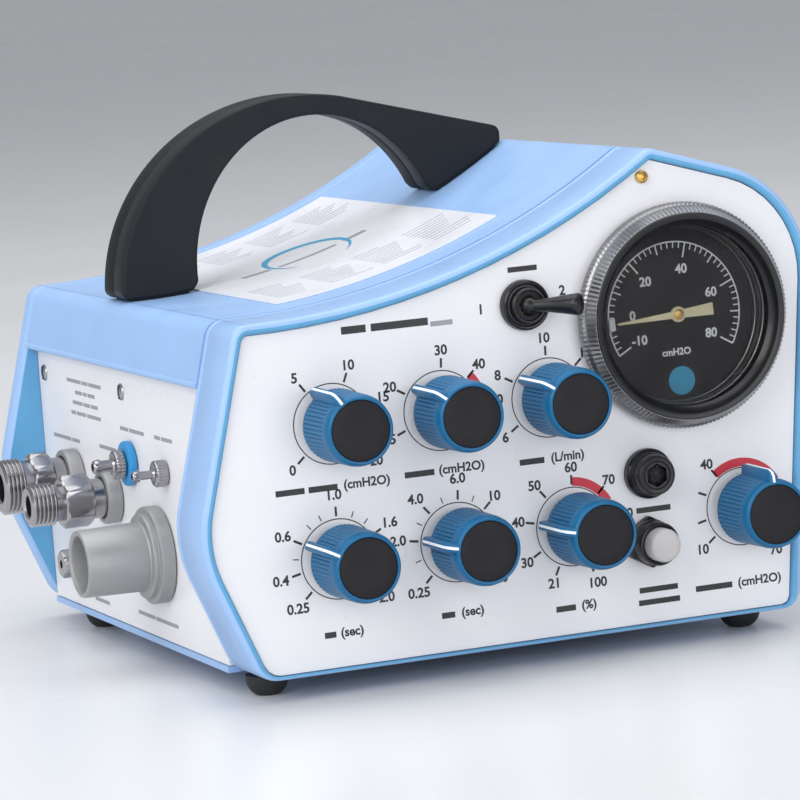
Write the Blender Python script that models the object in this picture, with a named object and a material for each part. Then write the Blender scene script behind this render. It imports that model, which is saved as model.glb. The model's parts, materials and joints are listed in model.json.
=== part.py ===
"""Portable pneumatic mechanical ventilator.

A light-blue moulded case (front bezel, wrap-over cover with a hood, rear shell and base plate)
carries a white control panel on the front and a recessed white connection panel on the left.
Seven control knobs, a mode toggle, a reset button, an alarm indicator and a round pressure gauge
sit on the front; the patient tube and the gas fittings sit on the left; an arched handle spans the
concave top.

Dimensions are in millimetres and are scaled to metres when a mesh is made. In the case frame x runs
to the right along the front panel, y runs from the panel's face to the rear, and z runs up from the
panel's bottom edge. FRAME_SHIFT moves the case frame so that the origin is at the bottom centre of
the whole object's bounding box, on the surface it stands on.
"""
from math import acos, atan2, cos, pi, radians, sin, sqrt

import bmesh
import bpy
from mathutils import Vector

MM = 0.001
GAP = 0.3

# Case outline, seen from the front: the edge of the white front panel.
BOTTOM_LEFT = (1.4, 0.0)
LEFT_KNEE = (-15.7, 42.1)
TOP_LEFT = (0.9, 106.5)
APEX = (141.5, 148.0)
RIGHT_SHOULDER = (194.2, 131.7)
BOTTOM_RIGHT = (181.0, 0.0)
TOP_ARC_RADIUS = 250.0
TOP_ARC_STEPS = 14
CORNER_RADII = {"bottom_left": 6.0, "knee": 35.0, "top_left": 2.5, "apex": 0.8, "shoulder": 33.0,
                "bottom_right": 3.0}

# Shells.
RIM = 3.4
BOTTOM_RIM = 1.2
RIM_FRONT = -1.6
LEDGE = 2.5
BEZEL_DEPTH = 24.0
REAR_FACE = 206.0
CASE_DEPTH = 217.0
COVER_WALL = 2.6
LIP_Z = 88.8
LIP_HEIGHT = 2.2
BASE_THICKNESS = 2.0
PANEL_THICKNESS = 2.0
SIDE_PANEL_X = -3.0
SIDE_PANEL_TOP = 91.8

# Front controls: centre (x, z) and pointer angle, degrees clockwise from straight up.
KNOBS = {
    "peep": (28.1, 76.3, -32.0),
    "inspiratory_pressure": (64.8, 76.3, -51.0),
    "inspiratory_flow": (101.4, 76.3, -56.0),
    "inspiratory_time": (27.3, 34.1, -62.0),
    "expiratory_time": (67.2, 34.4, -79.0),
    "oxygen": (106.7, 34.5, -79.0),
    "alarm_pressure": (166.3, 33.8, -2.0),
}
KNOB_RADIUS = 11.0
KNOB_FRONT = -25.5
KNOB_BACK = -4.9
FIN_RADIUS = 13.3
FIN_HALF_WIDTH = 1.3
KNOB_SEGMENTS = 26
CAP_RADIUS = 9.6
CAP_THICKNESS = 0.8
SPINDLE_RADIUS = 3.0
SPINDLE_END = 10.0
BUSHING_RADIUS = 3.8
BUSHING_FRONT = -4.4
BUSHING_NUT = 6.0

GAUGE_X = 148.2
GAUGE_Z = 97.8
GAUGE_RADIUS = 36.2
GAUGE_FRONT = -10.0
WINDOW_RADIUS = 28.6
GAUGE_BODY_RADIUS = 31.0
DIAL_Y = 3.4
NEEDLE_Y = 0.0
NEEDLE_REST = -93.0

TOGGLE_X = 94.9
TOGGLE_Z = 106.4
TOGGLE_PIVOT_Y = -4.8
TOGGLE_LEAN = 45.0
LEVER_LENGTH = 17.5

ALARM_X = 133.4
ALARM_Z = 48.5
BUTTON_X = 132.4
BUTTON_Z = 26.6
BUTTON_FRONT = -14.0
BUTTON_RADIUS = 5.4
PANEL_SCREW = (138.4, 142.6)

# Left connections: centre (y, z) on the side panel.
PATIENT_PORT = (84.0, 29.8)
PATIENT_REACH = 28.3
PATIENT_TIP_RADIUS = 11.0
PATIENT_BORE = 9.0
OXYGEN_INLET = (128.0, 44.4)
AIR_INLET = (170.0, 46.0)
PROXIMAL_PORT = (108.0, 57.4)
EXHALATION_PORT = (72.5, 57.6)
RELIEF_PLUG = (181.0, 15.5)
SIDE_SCREWS = ((113.3, 80.6), (199.0, 80.6))
BARREL_INNER_X = 10.7

HANDLE_FRONT = 112.0
HANDLE_BACK = 132.0
LABEL_X = (27.0, 104.5)
LABEL_Y = (39.0, 199.0)

FOOT_RADIUS = 6.8
FOOT_BOTTOM = -8.0
FEET = {"front_left": (6.5, 17.0), "front_right": (171.0, 17.0),
        "rear_left": (6.5, 182.0), "rear_right": (171.0, 182.0)}

BLOCK_LOW = (11.0, 58.0, 1.1)
BLOCK_HIGH = (51.0, 188.0, 66.0)
REGULATOR_CENTRE = (120.0, 34.0)

OXYGEN_REACH = 31.0
FRAME_SHIFT = Vector((-80.5, -95.75, 8.0))

COLOURS = {
    "case_blue": ((0.35, 0.58, 0.88), 0.38, 0.0),
    "panel_white": ((0.82, 0.83, 0.86), 0.35, 0.0),
    "label_white": ((0.88, 0.89, 0.93), 0.40, 0.0),
    "handle_black": ((0.03, 0.033, 0.042), 0.55, 0.0),
    "rubber_black": ((0.015, 0.015, 0.017), 0.75, 0.0),
    "knob_blue": ((0.01, 0.16, 0.42), 0.40, 0.0),
    "cap_black": ((0.035, 0.03, 0.033), 0.60, 0.0),
    "gauge_black": ((0.02, 0.02, 0.022), 0.35, 0.0),
    "bezel_metal": ((0.35, 0.36, 0.38), 0.30, 1.0),
    "needle_cream": ((0.80, 0.76, 0.58), 0.45, 0.0),
    "clear": ((0.9, 0.92, 0.93), 0.05, 0.0),
    "toggle_black": ((0.025, 0.025, 0.03), 0.40, 0.0),
    "button_grey": ((0.50, 0.49, 0.49), 0.35, 0.0),
    "satin_metal": ((0.55, 0.56, 0.56), 0.45, 1.0),
    "nickel": ((0.62, 0.62, 0.64), 0.22, 1.0),
    "brass": ((0.65, 0.42, 0.12), 0.30, 1.0),
    "ring_blue": ((0.02, 0.25, 0.50), 0.40, 0.0),
    "aluminium": ((0.60, 0.61, 0.63), 0.40, 1.0),
    "signal_red": ((0.60, 0.03, 0.05), 0.40, 0.0),
}


# Plane geometry in the front view: points are (x, z), and outward is to the left of travel.

def line_through(start, end, offset):
    """Return a point and unit direction of the line, moved outward by offset."""
    run = Vector((end[0] - start[0], end[1] - start[1])).normalized()
    outward = Vector((-run.y, run.x))
    return Vector(start) + outward * offset, run


def meet(line_a, line_b):
    """Return where two lines cross."""
    (point_a, run_a), (point_b, run_b) = line_a, line_b
    cross = run_a.x * run_b.y - run_a.y * run_b.x
    between = point_b - point_a
    distance = (between.x * run_b.y - between.y * run_b.x) / cross
    return point_a + run_a * distance


def arc_centre():
    """Return the centre of the concave top's arc, which lies above the case."""
    start = Vector(TOP_LEFT)
    end = Vector(APEX)
    half = (end - start) / 2
    height = sqrt(TOP_ARC_RADIUS ** 2 - half.length_squared)
    return start + half + Vector((-half.y, half.x)).normalized() * height


def meet_arc(line, centre, radius, near):
    """Return where a line crosses a circle, at the crossing closer to a given point."""
    point, run = line
    along = (centre - point).dot(run)
    foot = point + run * along
    half = sqrt(radius ** 2 - (centre - foot).length_squared)
    crossings = (foot - run * half, foot + run * half)
    return min(crossings, key=lambda crossing: (crossing - near).length)


def fillet(before, corner, after, radius, steps):
    """Return the points of an arc that rounds a corner."""
    to_before = (before - corner).normalized()
    to_after = (after - corner).normalized()
    angle = acos(max(-1.0, min(1.0, to_before.dot(to_after))))
    reach = radius / (sin(angle / 2) / cos(angle / 2))
    centre = corner + (to_before + to_after).normalized() * (radius / sin(angle / 2))
    first = corner + to_before * reach - centre
    last = corner + to_after * reach - centre
    start_angle = atan2(first.y, first.x)
    sweep = atan2(last.y, last.x) - start_angle
    if sweep > pi:
        sweep -= 2 * pi
    if sweep < -pi:
        sweep += 2 * pi
    angles = [start_angle + sweep * step / steps for step in range(steps + 1)]
    return [centre + Vector((cos(a), sin(a))) * radius for a in angles]


def case_outline(offset):
    """Return the case outline, moved outward by offset from the front panel's edge."""
    drop = offset * BOTTOM_RIM / RIM if offset > 0 else offset
    bottom = line_through(BOTTOM_RIGHT, BOTTOM_LEFT, drop)
    lower_left = line_through(BOTTOM_LEFT, LEFT_KNEE, offset)
    upper_left = line_through(LEFT_KNEE, TOP_LEFT, offset)
    slope = line_through(APEX, RIGHT_SHOULDER, offset)
    right = line_through(RIGHT_SHOULDER, BOTTOM_RIGHT, offset)
    centre = arc_centre()
    radius = TOP_ARC_RADIUS - offset
    top_left = meet_arc(upper_left, centre, radius, Vector(TOP_LEFT))
    apex = meet_arc(slope, centre, radius, Vector(APEX))
    first = atan2(top_left.y - centre.y, top_left.x - centre.x)
    last = atan2(apex.y - centre.y, apex.x - centre.x)
    arc = []
    for step in range(1, TOP_ARC_STEPS):
        angle = first + (last - first) * step / TOP_ARC_STEPS
        arc.append(centre + Vector((cos(angle), sin(angle))) * radius)
    corners = [meet(bottom, lower_left), meet(lower_left, upper_left), top_left] + arc
    corners += [apex, meet(slope, right), meet(right, bottom)]
    names = ["bottom_left", "knee", "top_left"] + [None] * len(arc)
    names += ["apex", "shoulder", "bottom_right"]
    steps = {"bottom_left": 3, "knee": 7, "top_left": 3, "apex": 1, "shoulder": 9,
             "bottom_right": 2}
    points = []
    for index, corner in enumerate(corners):
        name = names[index]
        if name is None:
            points.append(corner)
            continue
        before = corners[index - 1]
        after = corners[(index + 1) % len(corners)]
        rounding = max(CORNER_RADII[name] + offset, 0.4)
        points += fillet(before, corner, after, rounding, steps[name])
    return points


def left_edge(z, offset):
    """Return x on the straight upper-left side at height z."""
    point, run = line_through(LEFT_KNEE, TOP_LEFT, offset)
    return point.x + run.x * (z - point.y) / run.y


def top_surface(x, offset):
    """Return z on the concave top at x."""
    centre = arc_centre()
    return centre.y - sqrt((TOP_ARC_RADIUS - offset) ** 2 - (x - centre.x) ** 2)


def clip(points, limit, keep_right):
    """Cut an outline along the vertical line x = limit and keep one side of it."""
    kept = []
    for index, point in enumerate(points):
        previous = points[index - 1]
        inside = (point.x >= limit) == keep_right
        was_inside = (previous.x >= limit) == keep_right
        if inside != was_inside:
            share = (limit - previous.x) / (point.x - previous.x)
            kept.append(previous + (point - previous) * share)
        if inside:
            kept.append(point)
    return kept


def offset_loop(points, distance):
    """Move a closed clockwise loop outward by distance, mitring its corners."""
    moved = []
    for index, point in enumerate(points):
        before = points[index - 1]
        after = points[(index + 1) % len(points)]
        run_in = (point - before).normalized()
        run_out = (after - point).normalized()
        normal_in = Vector((-run_in.y, run_in.x))
        normal_out = Vector((-run_out.y, run_out.x))
        bisector = (normal_in + normal_out).normalized()
        moved.append(point + bisector * (distance / max(bisector.dot(normal_in), 0.5)))
    return moved


def circle(radius, segments):
    """Return a circle's points as (across, up), starting straight up and going clockwise."""
    turns = [2 * pi * step / segments for step in range(segments)]
    return [Vector((sin(turn), cos(turn))) * radius for turn in turns]


def hexagon(across_corners, segments):
    """Return a hexagon sampled at the same angles as circle()."""
    flat = across_corners * cos(pi / 6)
    points = []
    for step in range(segments):
        turn = 2 * pi * step / segments
        from_flat = (turn % (pi / 3)) - pi / 6
        points.append(Vector((sin(turn), cos(turn))) * (flat / cos(from_flat)))
    return points


# Objects. A layer is a list of 3-D points; a loft joins layers of equal length.

def make_material(name):
    """Return the material of a colour name."""
    if name in bpy.data.materials:
        return bpy.data.materials[name]
    colour, roughness, metallic = COLOURS[name]
    material = bpy.data.materials.new(name)
    material.use_nodes = True
    shader = material.node_tree.nodes["Principled BSDF"]
    shader.inputs["Base Color"].default_value = (*colour, 1.0)
    shader.inputs["Roughness"].default_value = roughness
    shader.inputs["Metallic"].default_value = metallic
    material.diffuse_color = (*colour, 1.0)
    return material


def to_world(point):
    """Return a case-frame point in the object's frame, in metres."""
    return (Vector(point) + FRAME_SHIFT) * MM


def add_object(name, mesh, material, place):
    """Link a mesh as an object at a place in the case frame."""
    thing = bpy.data.objects.new(name, mesh)
    thing.location = to_world(place)
    if material and not mesh.materials:
        mesh.materials.append(make_material(material))
    bpy.context.collection.objects.link(thing)
    return thing


def finish_mesh(name, bm, sharp_degrees=35.0):
    """Turn a bmesh in millimetres into a smooth-shaded mesh in metres."""
    bmesh.ops.recalc_face_normals(bm, faces=bm.faces)
    bmesh.ops.scale(bm, vec=(MM, MM, MM), verts=bm.verts)
    mesh = bpy.data.meshes.new(name)
    bm.to_mesh(mesh)
    bm.free()
    mesh.shade_smooth()
    mesh.set_sharp_from_angle(angle=radians(sharp_degrees))
    return mesh


def loft_mesh(name, layers, ring=False):
    """Join layers into a closed skin: capped at both ends, or joined end to end as a ring."""
    bm = bmesh.new()
    rows = [[bm.verts.new(point) for point in layer] for layer in layers]
    count = len(rows[0])
    pairs = list(zip(rows, rows[1:]))
    if ring:
        pairs.append((rows[-1], rows[0]))
    for lower, upper in pairs:
        for index in range(count):
            after = (index + 1) % count
            bm.faces.new((lower[index], lower[after], upper[after], upper[index]))
    if not ring:
        bm.faces.new(rows[0])
        bm.faces.new(rows[-1])
    return finish_mesh(name, bm)


def layer_xz(points, y):
    """Lift front-view points to depth y."""
    return [(point[0], y, point[1]) for point in points]


def layer_yz(points, x):
    """Place side-view points (y, z) at x."""
    return [(x, point[0], point[1]) for point in points]


def prism(name, points, front, back, material):
    """Extrude a front-view outline from front to back."""
    mesh = loft_mesh(name, [layer_xz(points, front), layer_xz(points, back)])
    return add_object(name, mesh, material, (0, 0, 0))


def box(name, low, high, material):
    """Make a box between two corners."""
    outline = [(low[0], low[2]), (low[0], high[2]), (high[0], high[2]), (high[0], low[2])]
    return prism(name, outline, low[1], high[1], material)


def turned_mesh(name, profile, segments, direction):
    """Turn a profile of (radius, distance) about an axis; its ends lie on the axis or meet.

    direction is "y" for the front controls, with distance along +y, or "x" for the left fittings,
    with distance outward along -x, or "z" for parts that stand upright.
    """
    def lift(across, up, distance):
        if direction == "y":
            return (across, distance, up)
        if direction == "x":
            return (-distance, across, up)
        return (across, up, distance)

    bm = bmesh.new()
    rows = []
    for radius, distance in profile:
        if radius == 0:
            rows.append([bm.verts.new(lift(0, 0, distance))])
            continue
        rows.append([bm.verts.new(lift(point.x, point.y, distance))
                     for point in circle(radius, segments)])
    closed = profile[0][0] > 0
    pairs = list(zip(rows, rows[1:]))
    if closed:
        pairs.append((rows[-1], rows[0]))
    for lower, upper in pairs:
        for index in range(segments):
            after = (index + 1) % segments
            corners = [lower[index % len(lower)], lower[after % len(lower)],
                       upper[after % len(upper)], upper[index % len(upper)]]
            unique = list(dict.fromkeys(corners))
            bm.faces.new(unique)
    return finish_mesh(name, bm)


def turned(name, profile, place, material, direction="y", segments=24):
    """Add a turned object at a place."""
    return add_object(name, turned_mesh(name, profile, segments, direction), material, place)


def shape_with(target, tool, operation):
    """Cut a tool out of a target, or join it on, and leave the tool as a hidden guide."""
    tool.hide_render = True
    tool.display_type = "WIRE"
    modifier = target.modifiers.new(tool.name, "BOOLEAN")
    modifier.operation = operation
    modifier.solver = "EXACT"
    modifier.object = tool


def drill(target, radius, place, depths, direction="y", segments=24):
    """Cut a round hole through a target, between two depths along its axis."""
    near, far = depths
    profile = [(0, near), (radius, near), (radius, far), (0, far)]
    tool = turned("cut_" + target.name, profile, place, None, direction, segments)
    shape_with(target, tool, "DIFFERENCE")


def soften(thing, width, segments=2):
    """Round an object's sharp edges."""
    modifier = thing.modifiers.new("soften", "BEVEL")
    modifier.width = width * MM
    modifier.segments = segments
    modifier.limit_method = "ANGLE"
    modifier.angle_limit = radians(40)


# Case.

def make_front_bezel():
    """Frame round the front panel, with a seat ledge and a web that closes the left recess."""
    section = [(RIM, 0.6), (RIM - 0.4, -0.7), (RIM - 1.1, RIM_FRONT + 0.2), (RIM - 1.8, RIM_FRONT),
               (0.6, RIM_FRONT + 0.2), (0.0, -0.5), (0.0, PANEL_THICKNESS + GAP),
               (-LEDGE, PANEL_THICKNESS + GAP), (-LEDGE, 5.0), (0.0, 6.2), (0.0, BEZEL_DEPTH),
               (RIM, BEZEL_DEPTH)]
    layers = [layer_xz(case_outline(offset), y) for offset, y in section]
    bezel = add_object("front_bezel", loft_mesh("front_bezel", layers, ring=True), "case_blue",
                       (0, 0, 0))
    web = prism("join_bezel_web", clip(case_outline(1.6), SIDE_PANEL_X + 2, False),
                BEZEL_DEPTH - 2.6, BEZEL_DEPTH, None)
    shape_with(bezel, web, "UNION")
    drill(bezel, 1.5, (PANEL_SCREW[0], 0, PANEL_SCREW[1]), (PANEL_THICKNESS - 0.5, 8.0), segments=12)


def make_rear_shell():
    """Closed tray at the rear; its solid left margin closes the back of the recess."""
    section = [(RIM, REAR_FACE), (RIM, CASE_DEPTH - 2.4), (RIM - 0.7, CASE_DEPTH - 0.7),
               (RIM - 2.4, CASE_DEPTH)]
    layers = [layer_xz(case_outline(offset), y) for offset, y in section]
    shell = add_object("rear_shell", loft_mesh("rear_shell", layers), "case_blue", (0, 0, 0))
    cavity = prism("cut_rear_cavity", clip(case_outline(0.4), SIDE_PANEL_X + 2, True),
                   REAR_FACE - 2, CASE_DEPTH - 2.5, None)
    shape_with(shell, cavity, "DIFFERENCE")


def wrap_path(offset):
    """Return the cover's path: from the hood lip over the top and down the right side."""
    outline = case_outline(offset)
    knee_end = next(i for i, point in enumerate(outline) if point.y > LIP_Z + 5)
    return outline[knee_end:-3]


def make_top_cover():
    """Wrap-over cover with the hood that ends in a rolled lip above the side panel."""
    outer = wrap_path(RIM)
    inner = wrap_path(RIM - COVER_WALL)
    bottom = -BOTTOM_RIM
    right_out = line_through(RIGHT_SHOULDER, BOTTOM_RIGHT, RIM)
    right_in = line_through(RIGHT_SHOULDER, BOTTOM_RIGHT, RIM - COVER_WALL)
    floor = (Vector((0, bottom)), Vector((1, 0)))
    lip_top = LIP_Z + LIP_HEIGHT
    proud = RIM + 0.5
    lip = [(SIDE_PANEL_X - GAP, lip_top + 0.6), (SIDE_PANEL_X - GAP, LIP_Z),
           (left_edge(LIP_Z, proud) + 0.5, LIP_Z), (left_edge(LIP_Z + 0.5, proud), LIP_Z + 0.5),
           (left_edge(lip_top - 0.4, proud), lip_top - 0.4), (left_edge(lip_top, RIM), lip_top)]
    path = [Vector(point) for point in lip] + outer + [meet(right_out, floor), meet(right_in, floor)]
    path += list(reversed(inner))
    prism("top_cover", path, BEZEL_DEPTH + GAP, REAR_FACE - GAP, "case_blue")


def make_panels():
    """Base plate, front panel with its openings and side panel with its holes."""
    box("base_plate", (SIDE_PANEL_X - 0.5, BEZEL_DEPTH + GAP, -BOTTOM_RIM),
        (BOTTOM_RIGHT[0], REAR_FACE - GAP, -BOTTOM_RIM + BASE_THICKNESS), "case_blue")
    front = prism("front_panel", case_outline(-GAP), 0, PANEL_THICKNESS, "panel_white")
    through = (-1.0, PANEL_THICKNESS + 1)
    for x, z, _ in KNOBS.values():
        drill(front, BUSHING_RADIUS + GAP, (x, 0, z), through, segments=12)
    drill(front, GAUGE_BODY_RADIUS + GAP, (GAUGE_X, 0, GAUGE_Z), through, segments=36)
    drill(front, 5.3, (TOGGLE_X, 0, TOGGLE_Z), through, segments=16)
    drill(front, 5.1, (ALARM_X, 0, ALARM_Z), through, segments=16)
    drill(front, 4.9, (BUTTON_X, 0, BUTTON_Z), through, segments=16)
    drill(front, 1.5, (PANEL_SCREW[0], 0, PANEL_SCREW[1]), through, segments=12)
    side = box("side_panel", (SIDE_PANEL_X, BEZEL_DEPTH + GAP, -BOTTOM_RIM + BASE_THICKNESS + GAP),
               (SIDE_PANEL_X + PANEL_THICKNESS, REAR_FACE - GAP, SIDE_PANEL_TOP), "panel_white")
    bores = [(PATIENT_PORT, 11.8, 32), (OXYGEN_INLET, 7.1, 20), (AIR_INLET, 8.6, 20),
             (PROXIMAL_PORT, 3.1, 16), (EXHALATION_PORT, 2.6, 16), (RELIEF_PLUG, 3.3, 16)]
    bores += [(place, 1.8, 12) for place in SIDE_SCREWS]
    for (y, z), radius, segments in bores:
        drill(side, radius, (SIDE_PANEL_X, y, z), (-4, 2), "x", segments)


def make_label():
    """Printed sheet that lies on the concave top between the handle's feet."""
    steps = 12
    low, high = LABEL_X
    xs = [low + (high - low) * step / steps for step in range(steps + 1)]
    lower = [Vector((x, top_surface(x, RIM + GAP))) for x in xs]
    upper = [Vector((x, top_surface(x, RIM + 2 * GAP))) for x in xs]
    prism("top_label", lower + list(reversed(upper)), LABEL_Y[0], LABEL_Y[1], "label_white")


def handle_outline():
    """Return the arch: an elliptic outer back, a straight nose on the right, and two feet."""
    lift = RIM + 2 * GAP
    back_centre = Vector((66.4, 110.2))
    back_radii = (66.6, 62.8)
    crown = 16.0
    steps = 14
    start = pi - 0.03
    finish = acos(crown / back_radii[0])
    outer = []
    for step in range(steps + 1):
        angle = start + (finish - start) * step / steps
        outer.append(back_centre + Vector((back_radii[0] * cos(angle), back_radii[1] * sin(angle))))
    nose_top = Vector((134.4, 157.4))
    nose_x = 138.6
    nose_foot = Vector((nose_x, top_surface(nose_x, lift)))
    nose = fillet(outer[-1], Vector((nose_x, 156.2)), nose_foot, 3.6, 3)
    outer = outer + [(outer[-1] + nose_top) / 2] + nose
    foot_steps = 5
    right_xs = [136.8 - (136.8 - 112.8) * step / foot_steps for step in range(foot_steps + 1)]
    right_foot = [Vector((x, top_surface(x, lift))) for x in right_xs]
    arch_centre = Vector((70.8, 117.2))
    arch_radii = (44.0, 48.6)
    arch = []
    for step in range(steps + 3):
        angle = 0.46 + (pi - 0.40) * step / (steps + 2)
        arch.append(arch_centre + Vector((arch_radii[0] * cos(angle), arch_radii[1] * sin(angle))))
    left_xs = [24.8, 19.0, 12.0, 5.0, 2.0]
    left_foot = [Vector((x, top_surface(x, lift))) for x in left_xs]
    return outer + right_foot + arch + left_foot


def make_handle():
    """Arched carrying handle with rounded edges and a parting groove round its rim."""
    outline = handle_outline()
    middle = (HANDLE_FRONT + HANDLE_BACK) / 2
    section = [(-2.2, HANDLE_FRONT), (-0.7, HANDLE_FRONT + 0.6), (0.0, HANDLE_FRONT + 2.4),
               (0.0, middle - 0.6), (-0.5, middle), (0.0, middle + 0.6), (0.0, HANDLE_BACK - 2.4),
               (-0.7, HANDLE_BACK - 0.6), (-2.2, HANDLE_BACK)]
    layers = [layer_xz(offset_loop(outline, offset), y) for offset, y in section]
    add_object("handle", loft_mesh("handle", layers), "handle_black", (0, 0, 0))


def make_feet():
    """Four rubber feet with flat bottoms."""
    top = -BOTTOM_RIM - GAP
    profile = [(0, top), (FOOT_RADIUS, top), (FOOT_RADIUS, -3.4), (6.2, -5.4), (4.9, -7.0),
               (3.2, FOOT_BOTTOM), (0, FOOT_BOTTOM)]
    for name, (x, y) in FEET.items():
        turned("foot_" + name, profile, (x, y, 0), "rubber_black", "z", 20)


# Front controls.

def knob_loop(radius, fin_radius):
    """Return a knob cross-section: a circle with a pointer fin at the top."""
    points = []
    half_angle = FIN_HALF_WIDTH / KNOB_RADIUS
    start = Vector((sin(half_angle), cos(half_angle))) * radius
    end = Vector((-sin(half_angle), cos(half_angle))) * radius
    body = KNOB_SEGMENTS - 4
    for step in range(1, body):
        turn = half_angle + (2 * pi - 2 * half_angle) * step / body
        points.append(Vector((sin(turn), cos(turn))) * radius)
    width = FIN_HALF_WIDTH * 0.75
    tip = [Vector((-width, fin_radius)), Vector((width, fin_radius))]
    return points + [end] + tip + [start]


def make_knobs():
    """Seven knobs, each with its cap and its valve behind the panel."""
    levels = [
        (CAP_RADIUS + 0.3, 0.0, KNOB_FRONT + CAP_THICKNESS + GAP),
        (CAP_RADIUS + 0.3, 0.0, KNOB_FRONT),
        (KNOB_RADIUS - 0.5, 0.0, KNOB_FRONT),
        (KNOB_RADIUS - 0.1, FIN_RADIUS - 1.0, KNOB_FRONT + 0.5),
        (KNOB_RADIUS, FIN_RADIUS, KNOB_FRONT + 2.0),
        (KNOB_RADIUS + 0.3, FIN_RADIUS, KNOB_BACK - 1.0),
        (KNOB_RADIUS + 0.3, 0.0, KNOB_BACK),
        (8.4, 0.0, KNOB_BACK),
        (8.4, 0.0, KNOB_BACK - 5.0),
        (SPINDLE_RADIUS, 0.0, KNOB_BACK - 5.0),
        (SPINDLE_RADIUS, 0.0, SPINDLE_END),
    ]
    layers = [layer_xz(knob_loop(radius, max(fin, radius)), y) for radius, fin, y in levels]
    knob_mesh = loft_mesh("knob", layers)
    cap_profile = [(0, KNOB_FRONT), (CAP_RADIUS, KNOB_FRONT),
                   (CAP_RADIUS, KNOB_FRONT + CAP_THICKNESS), (0, KNOB_FRONT + CAP_THICKNESS)]
    cap_mesh = turned_mesh("knob_cap", cap_profile, 24, "y")
    back = PANEL_THICKNESS + GAP
    bore = SPINDLE_RADIUS + GAP
    valve_profile = [(0, SPINDLE_END + 2), (bore, SPINDLE_END + 2), (bore, BUSHING_FRONT),
                     (BUSHING_NUT, BUSHING_FRONT), (BUSHING_NUT, -GAP), (BUSHING_RADIUS, -GAP), (BUSHING_RADIUS, back), (9.0, back),
                     (9.0, 20.0), (0, 22.0)]
    valve_mesh = turned_mesh("valve", valve_profile, 12, "y")
    for name, (x, z, pointer) in KNOBS.items():
        hub = bpy.data.objects.new("hub_" + name, None)
        hub.location = to_world((x, 0, z))
        hub.rotation_euler = (0, radians(pointer), 0)
        bpy.context.collection.objects.link(hub)
        knob = add_object("knob_" + name, knob_mesh, "knob_blue", -FRAME_SHIFT)
        cap = add_object("knob_cap_" + name, cap_mesh, "cap_black", -FRAME_SHIFT)
        knob.parent = hub
        cap.parent = hub
        add_object("valve_" + name, valve_mesh, "brass", (x, 0, z))


def make_gauge():
    """Panel gauge: case, knurled bezel ring, window, dial and needle."""
    centre = (GAUGE_X, 0, GAUGE_Z)
    rim_y = -4.0
    glass_back = rim_y - GAP
    glass_front = glass_back - 1.1
    inner = GAUGE_BODY_RADIUS - 1.8
    turned("gauge_case", [(0, 24.5), (27.5, 24.5), (27.5, DIAL_Y + 1.1), (inner, DIAL_Y + 1.1),
                          (inner, rim_y), (GAUGE_BODY_RADIUS, rim_y), (GAUGE_BODY_RADIUS, 26.0),
                          (0, 26.0)], centre, "gauge_black", segments=36)
    bore = GAUGE_BODY_RADIUS + GAP
    seat = glass_front - GAP
    turned("gauge_bezel", [(bore, -GAP), (GAUGE_RADIUS - 1.0, -GAP), (GAUGE_RADIUS, -3.0),
                           (GAUGE_RADIUS, -4.8), (GAUGE_RADIUS - 2.8, GAUGE_FRONT + 0.5),
                           (GAUGE_RADIUS - 3.4, GAUGE_FRONT), (30.9, GAUGE_FRONT),
                           (29.9, GAUGE_FRONT + 0.8), (WINDOW_RADIUS, seat - 1.2),
                           (WINDOW_RADIUS, seat), (bore, seat)], centre, "bezel_metal",
           segments=48)
    turned("gauge_window", [(0, glass_front), (GAUGE_BODY_RADIUS, glass_front),
                            (GAUGE_BODY_RADIUS, glass_back), (0, glass_back)], centre, "clear",
           segments=36)
    turned("gauge_dial", [(1.6, DIAL_Y), (inner - GAP, DIAL_Y), (inner - GAP, DIAL_Y + 0.8),
                          (1.6, DIAL_Y + 0.8)], centre, "gauge_black", segments=36)
    make_needle(centre)


def make_needle(centre):
    """Tapered pointer with a broad tail, on a hub whose spindle passes through the dial."""
    needle = turned("gauge_needle", [(0, NEEDLE_Y - 1.0), (2.2, NEEDLE_Y - 1.0),
                                     (2.2, NEEDLE_Y + 0.9), (1.1, NEEDLE_Y + 0.9),
                                     (1.1, NEEDLE_Y + 9.0), (0, NEEDLE_Y + 9.0)],
                    centre, "needle_cream", segments=16)
    blade = [(-2.4, -12.5), (-1.9, 0.0), (-0.35, 23.0), (0.35, 23.0), (1.9, 0.0), (2.4, -12.5)]
    layers = [layer_xz(blade, -0.3), layer_xz(blade, 0.3)]
    tool = add_object("join_needle_blade", loft_mesh("needle_blade", layers), None,
                      (GAUGE_X, NEEDLE_Y, GAUGE_Z))
    tool.rotation_euler = (0, radians(NEEDLE_REST), 0)
    shape_with(needle, tool, "UNION")


def make_toggle():
    """Mode selector: valve body, round nut and a tapered lever on a ball."""
    centre = (TOGGLE_X, 0, TOGGLE_Z)
    back = PANEL_THICKNESS + GAP
    turned("mode_valve", [(0, 1.0), (3.6, 1.0), (3.6, -4.6), (5.0, -4.6), (5.0, back), (8.5, back),
                          (8.5, 18.0), (3.0, 18.0), (3.0, 22.0), (0, 22.0)], centre, "brass")
    turned("mode_nut", [(5.3, -GAP), (8.0, -GAP), (8.0, -3.0), (7.6, -3.5), (6.6, -3.5),
                        (6.2, -5.2), (5.3, -5.5)], centre, "toggle_black", segments=20)
    ball = 2.9
    neck = 2.1
    profile = [(0, ball)]
    for step in range(1, 5):
        turn = pi * step / 6
        profile.append((ball * sin(turn), ball * cos(turn)))
    profile += [(neck, -2.8), (2.3, -7.0), (3.6, -LEVER_LENGTH + 1.0), (3.0, -LEVER_LENGTH),
                (0, -LEVER_LENGTH - 0.3)]
    lever = turned("mode_lever", profile, (TOGGLE_X, TOGGLE_PIVOT_Y, TOGGLE_Z), "toggle_black",
                   segments=20)
    lever.rotation_euler = (0, 0, radians(TOGGLE_LEAN))


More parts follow.
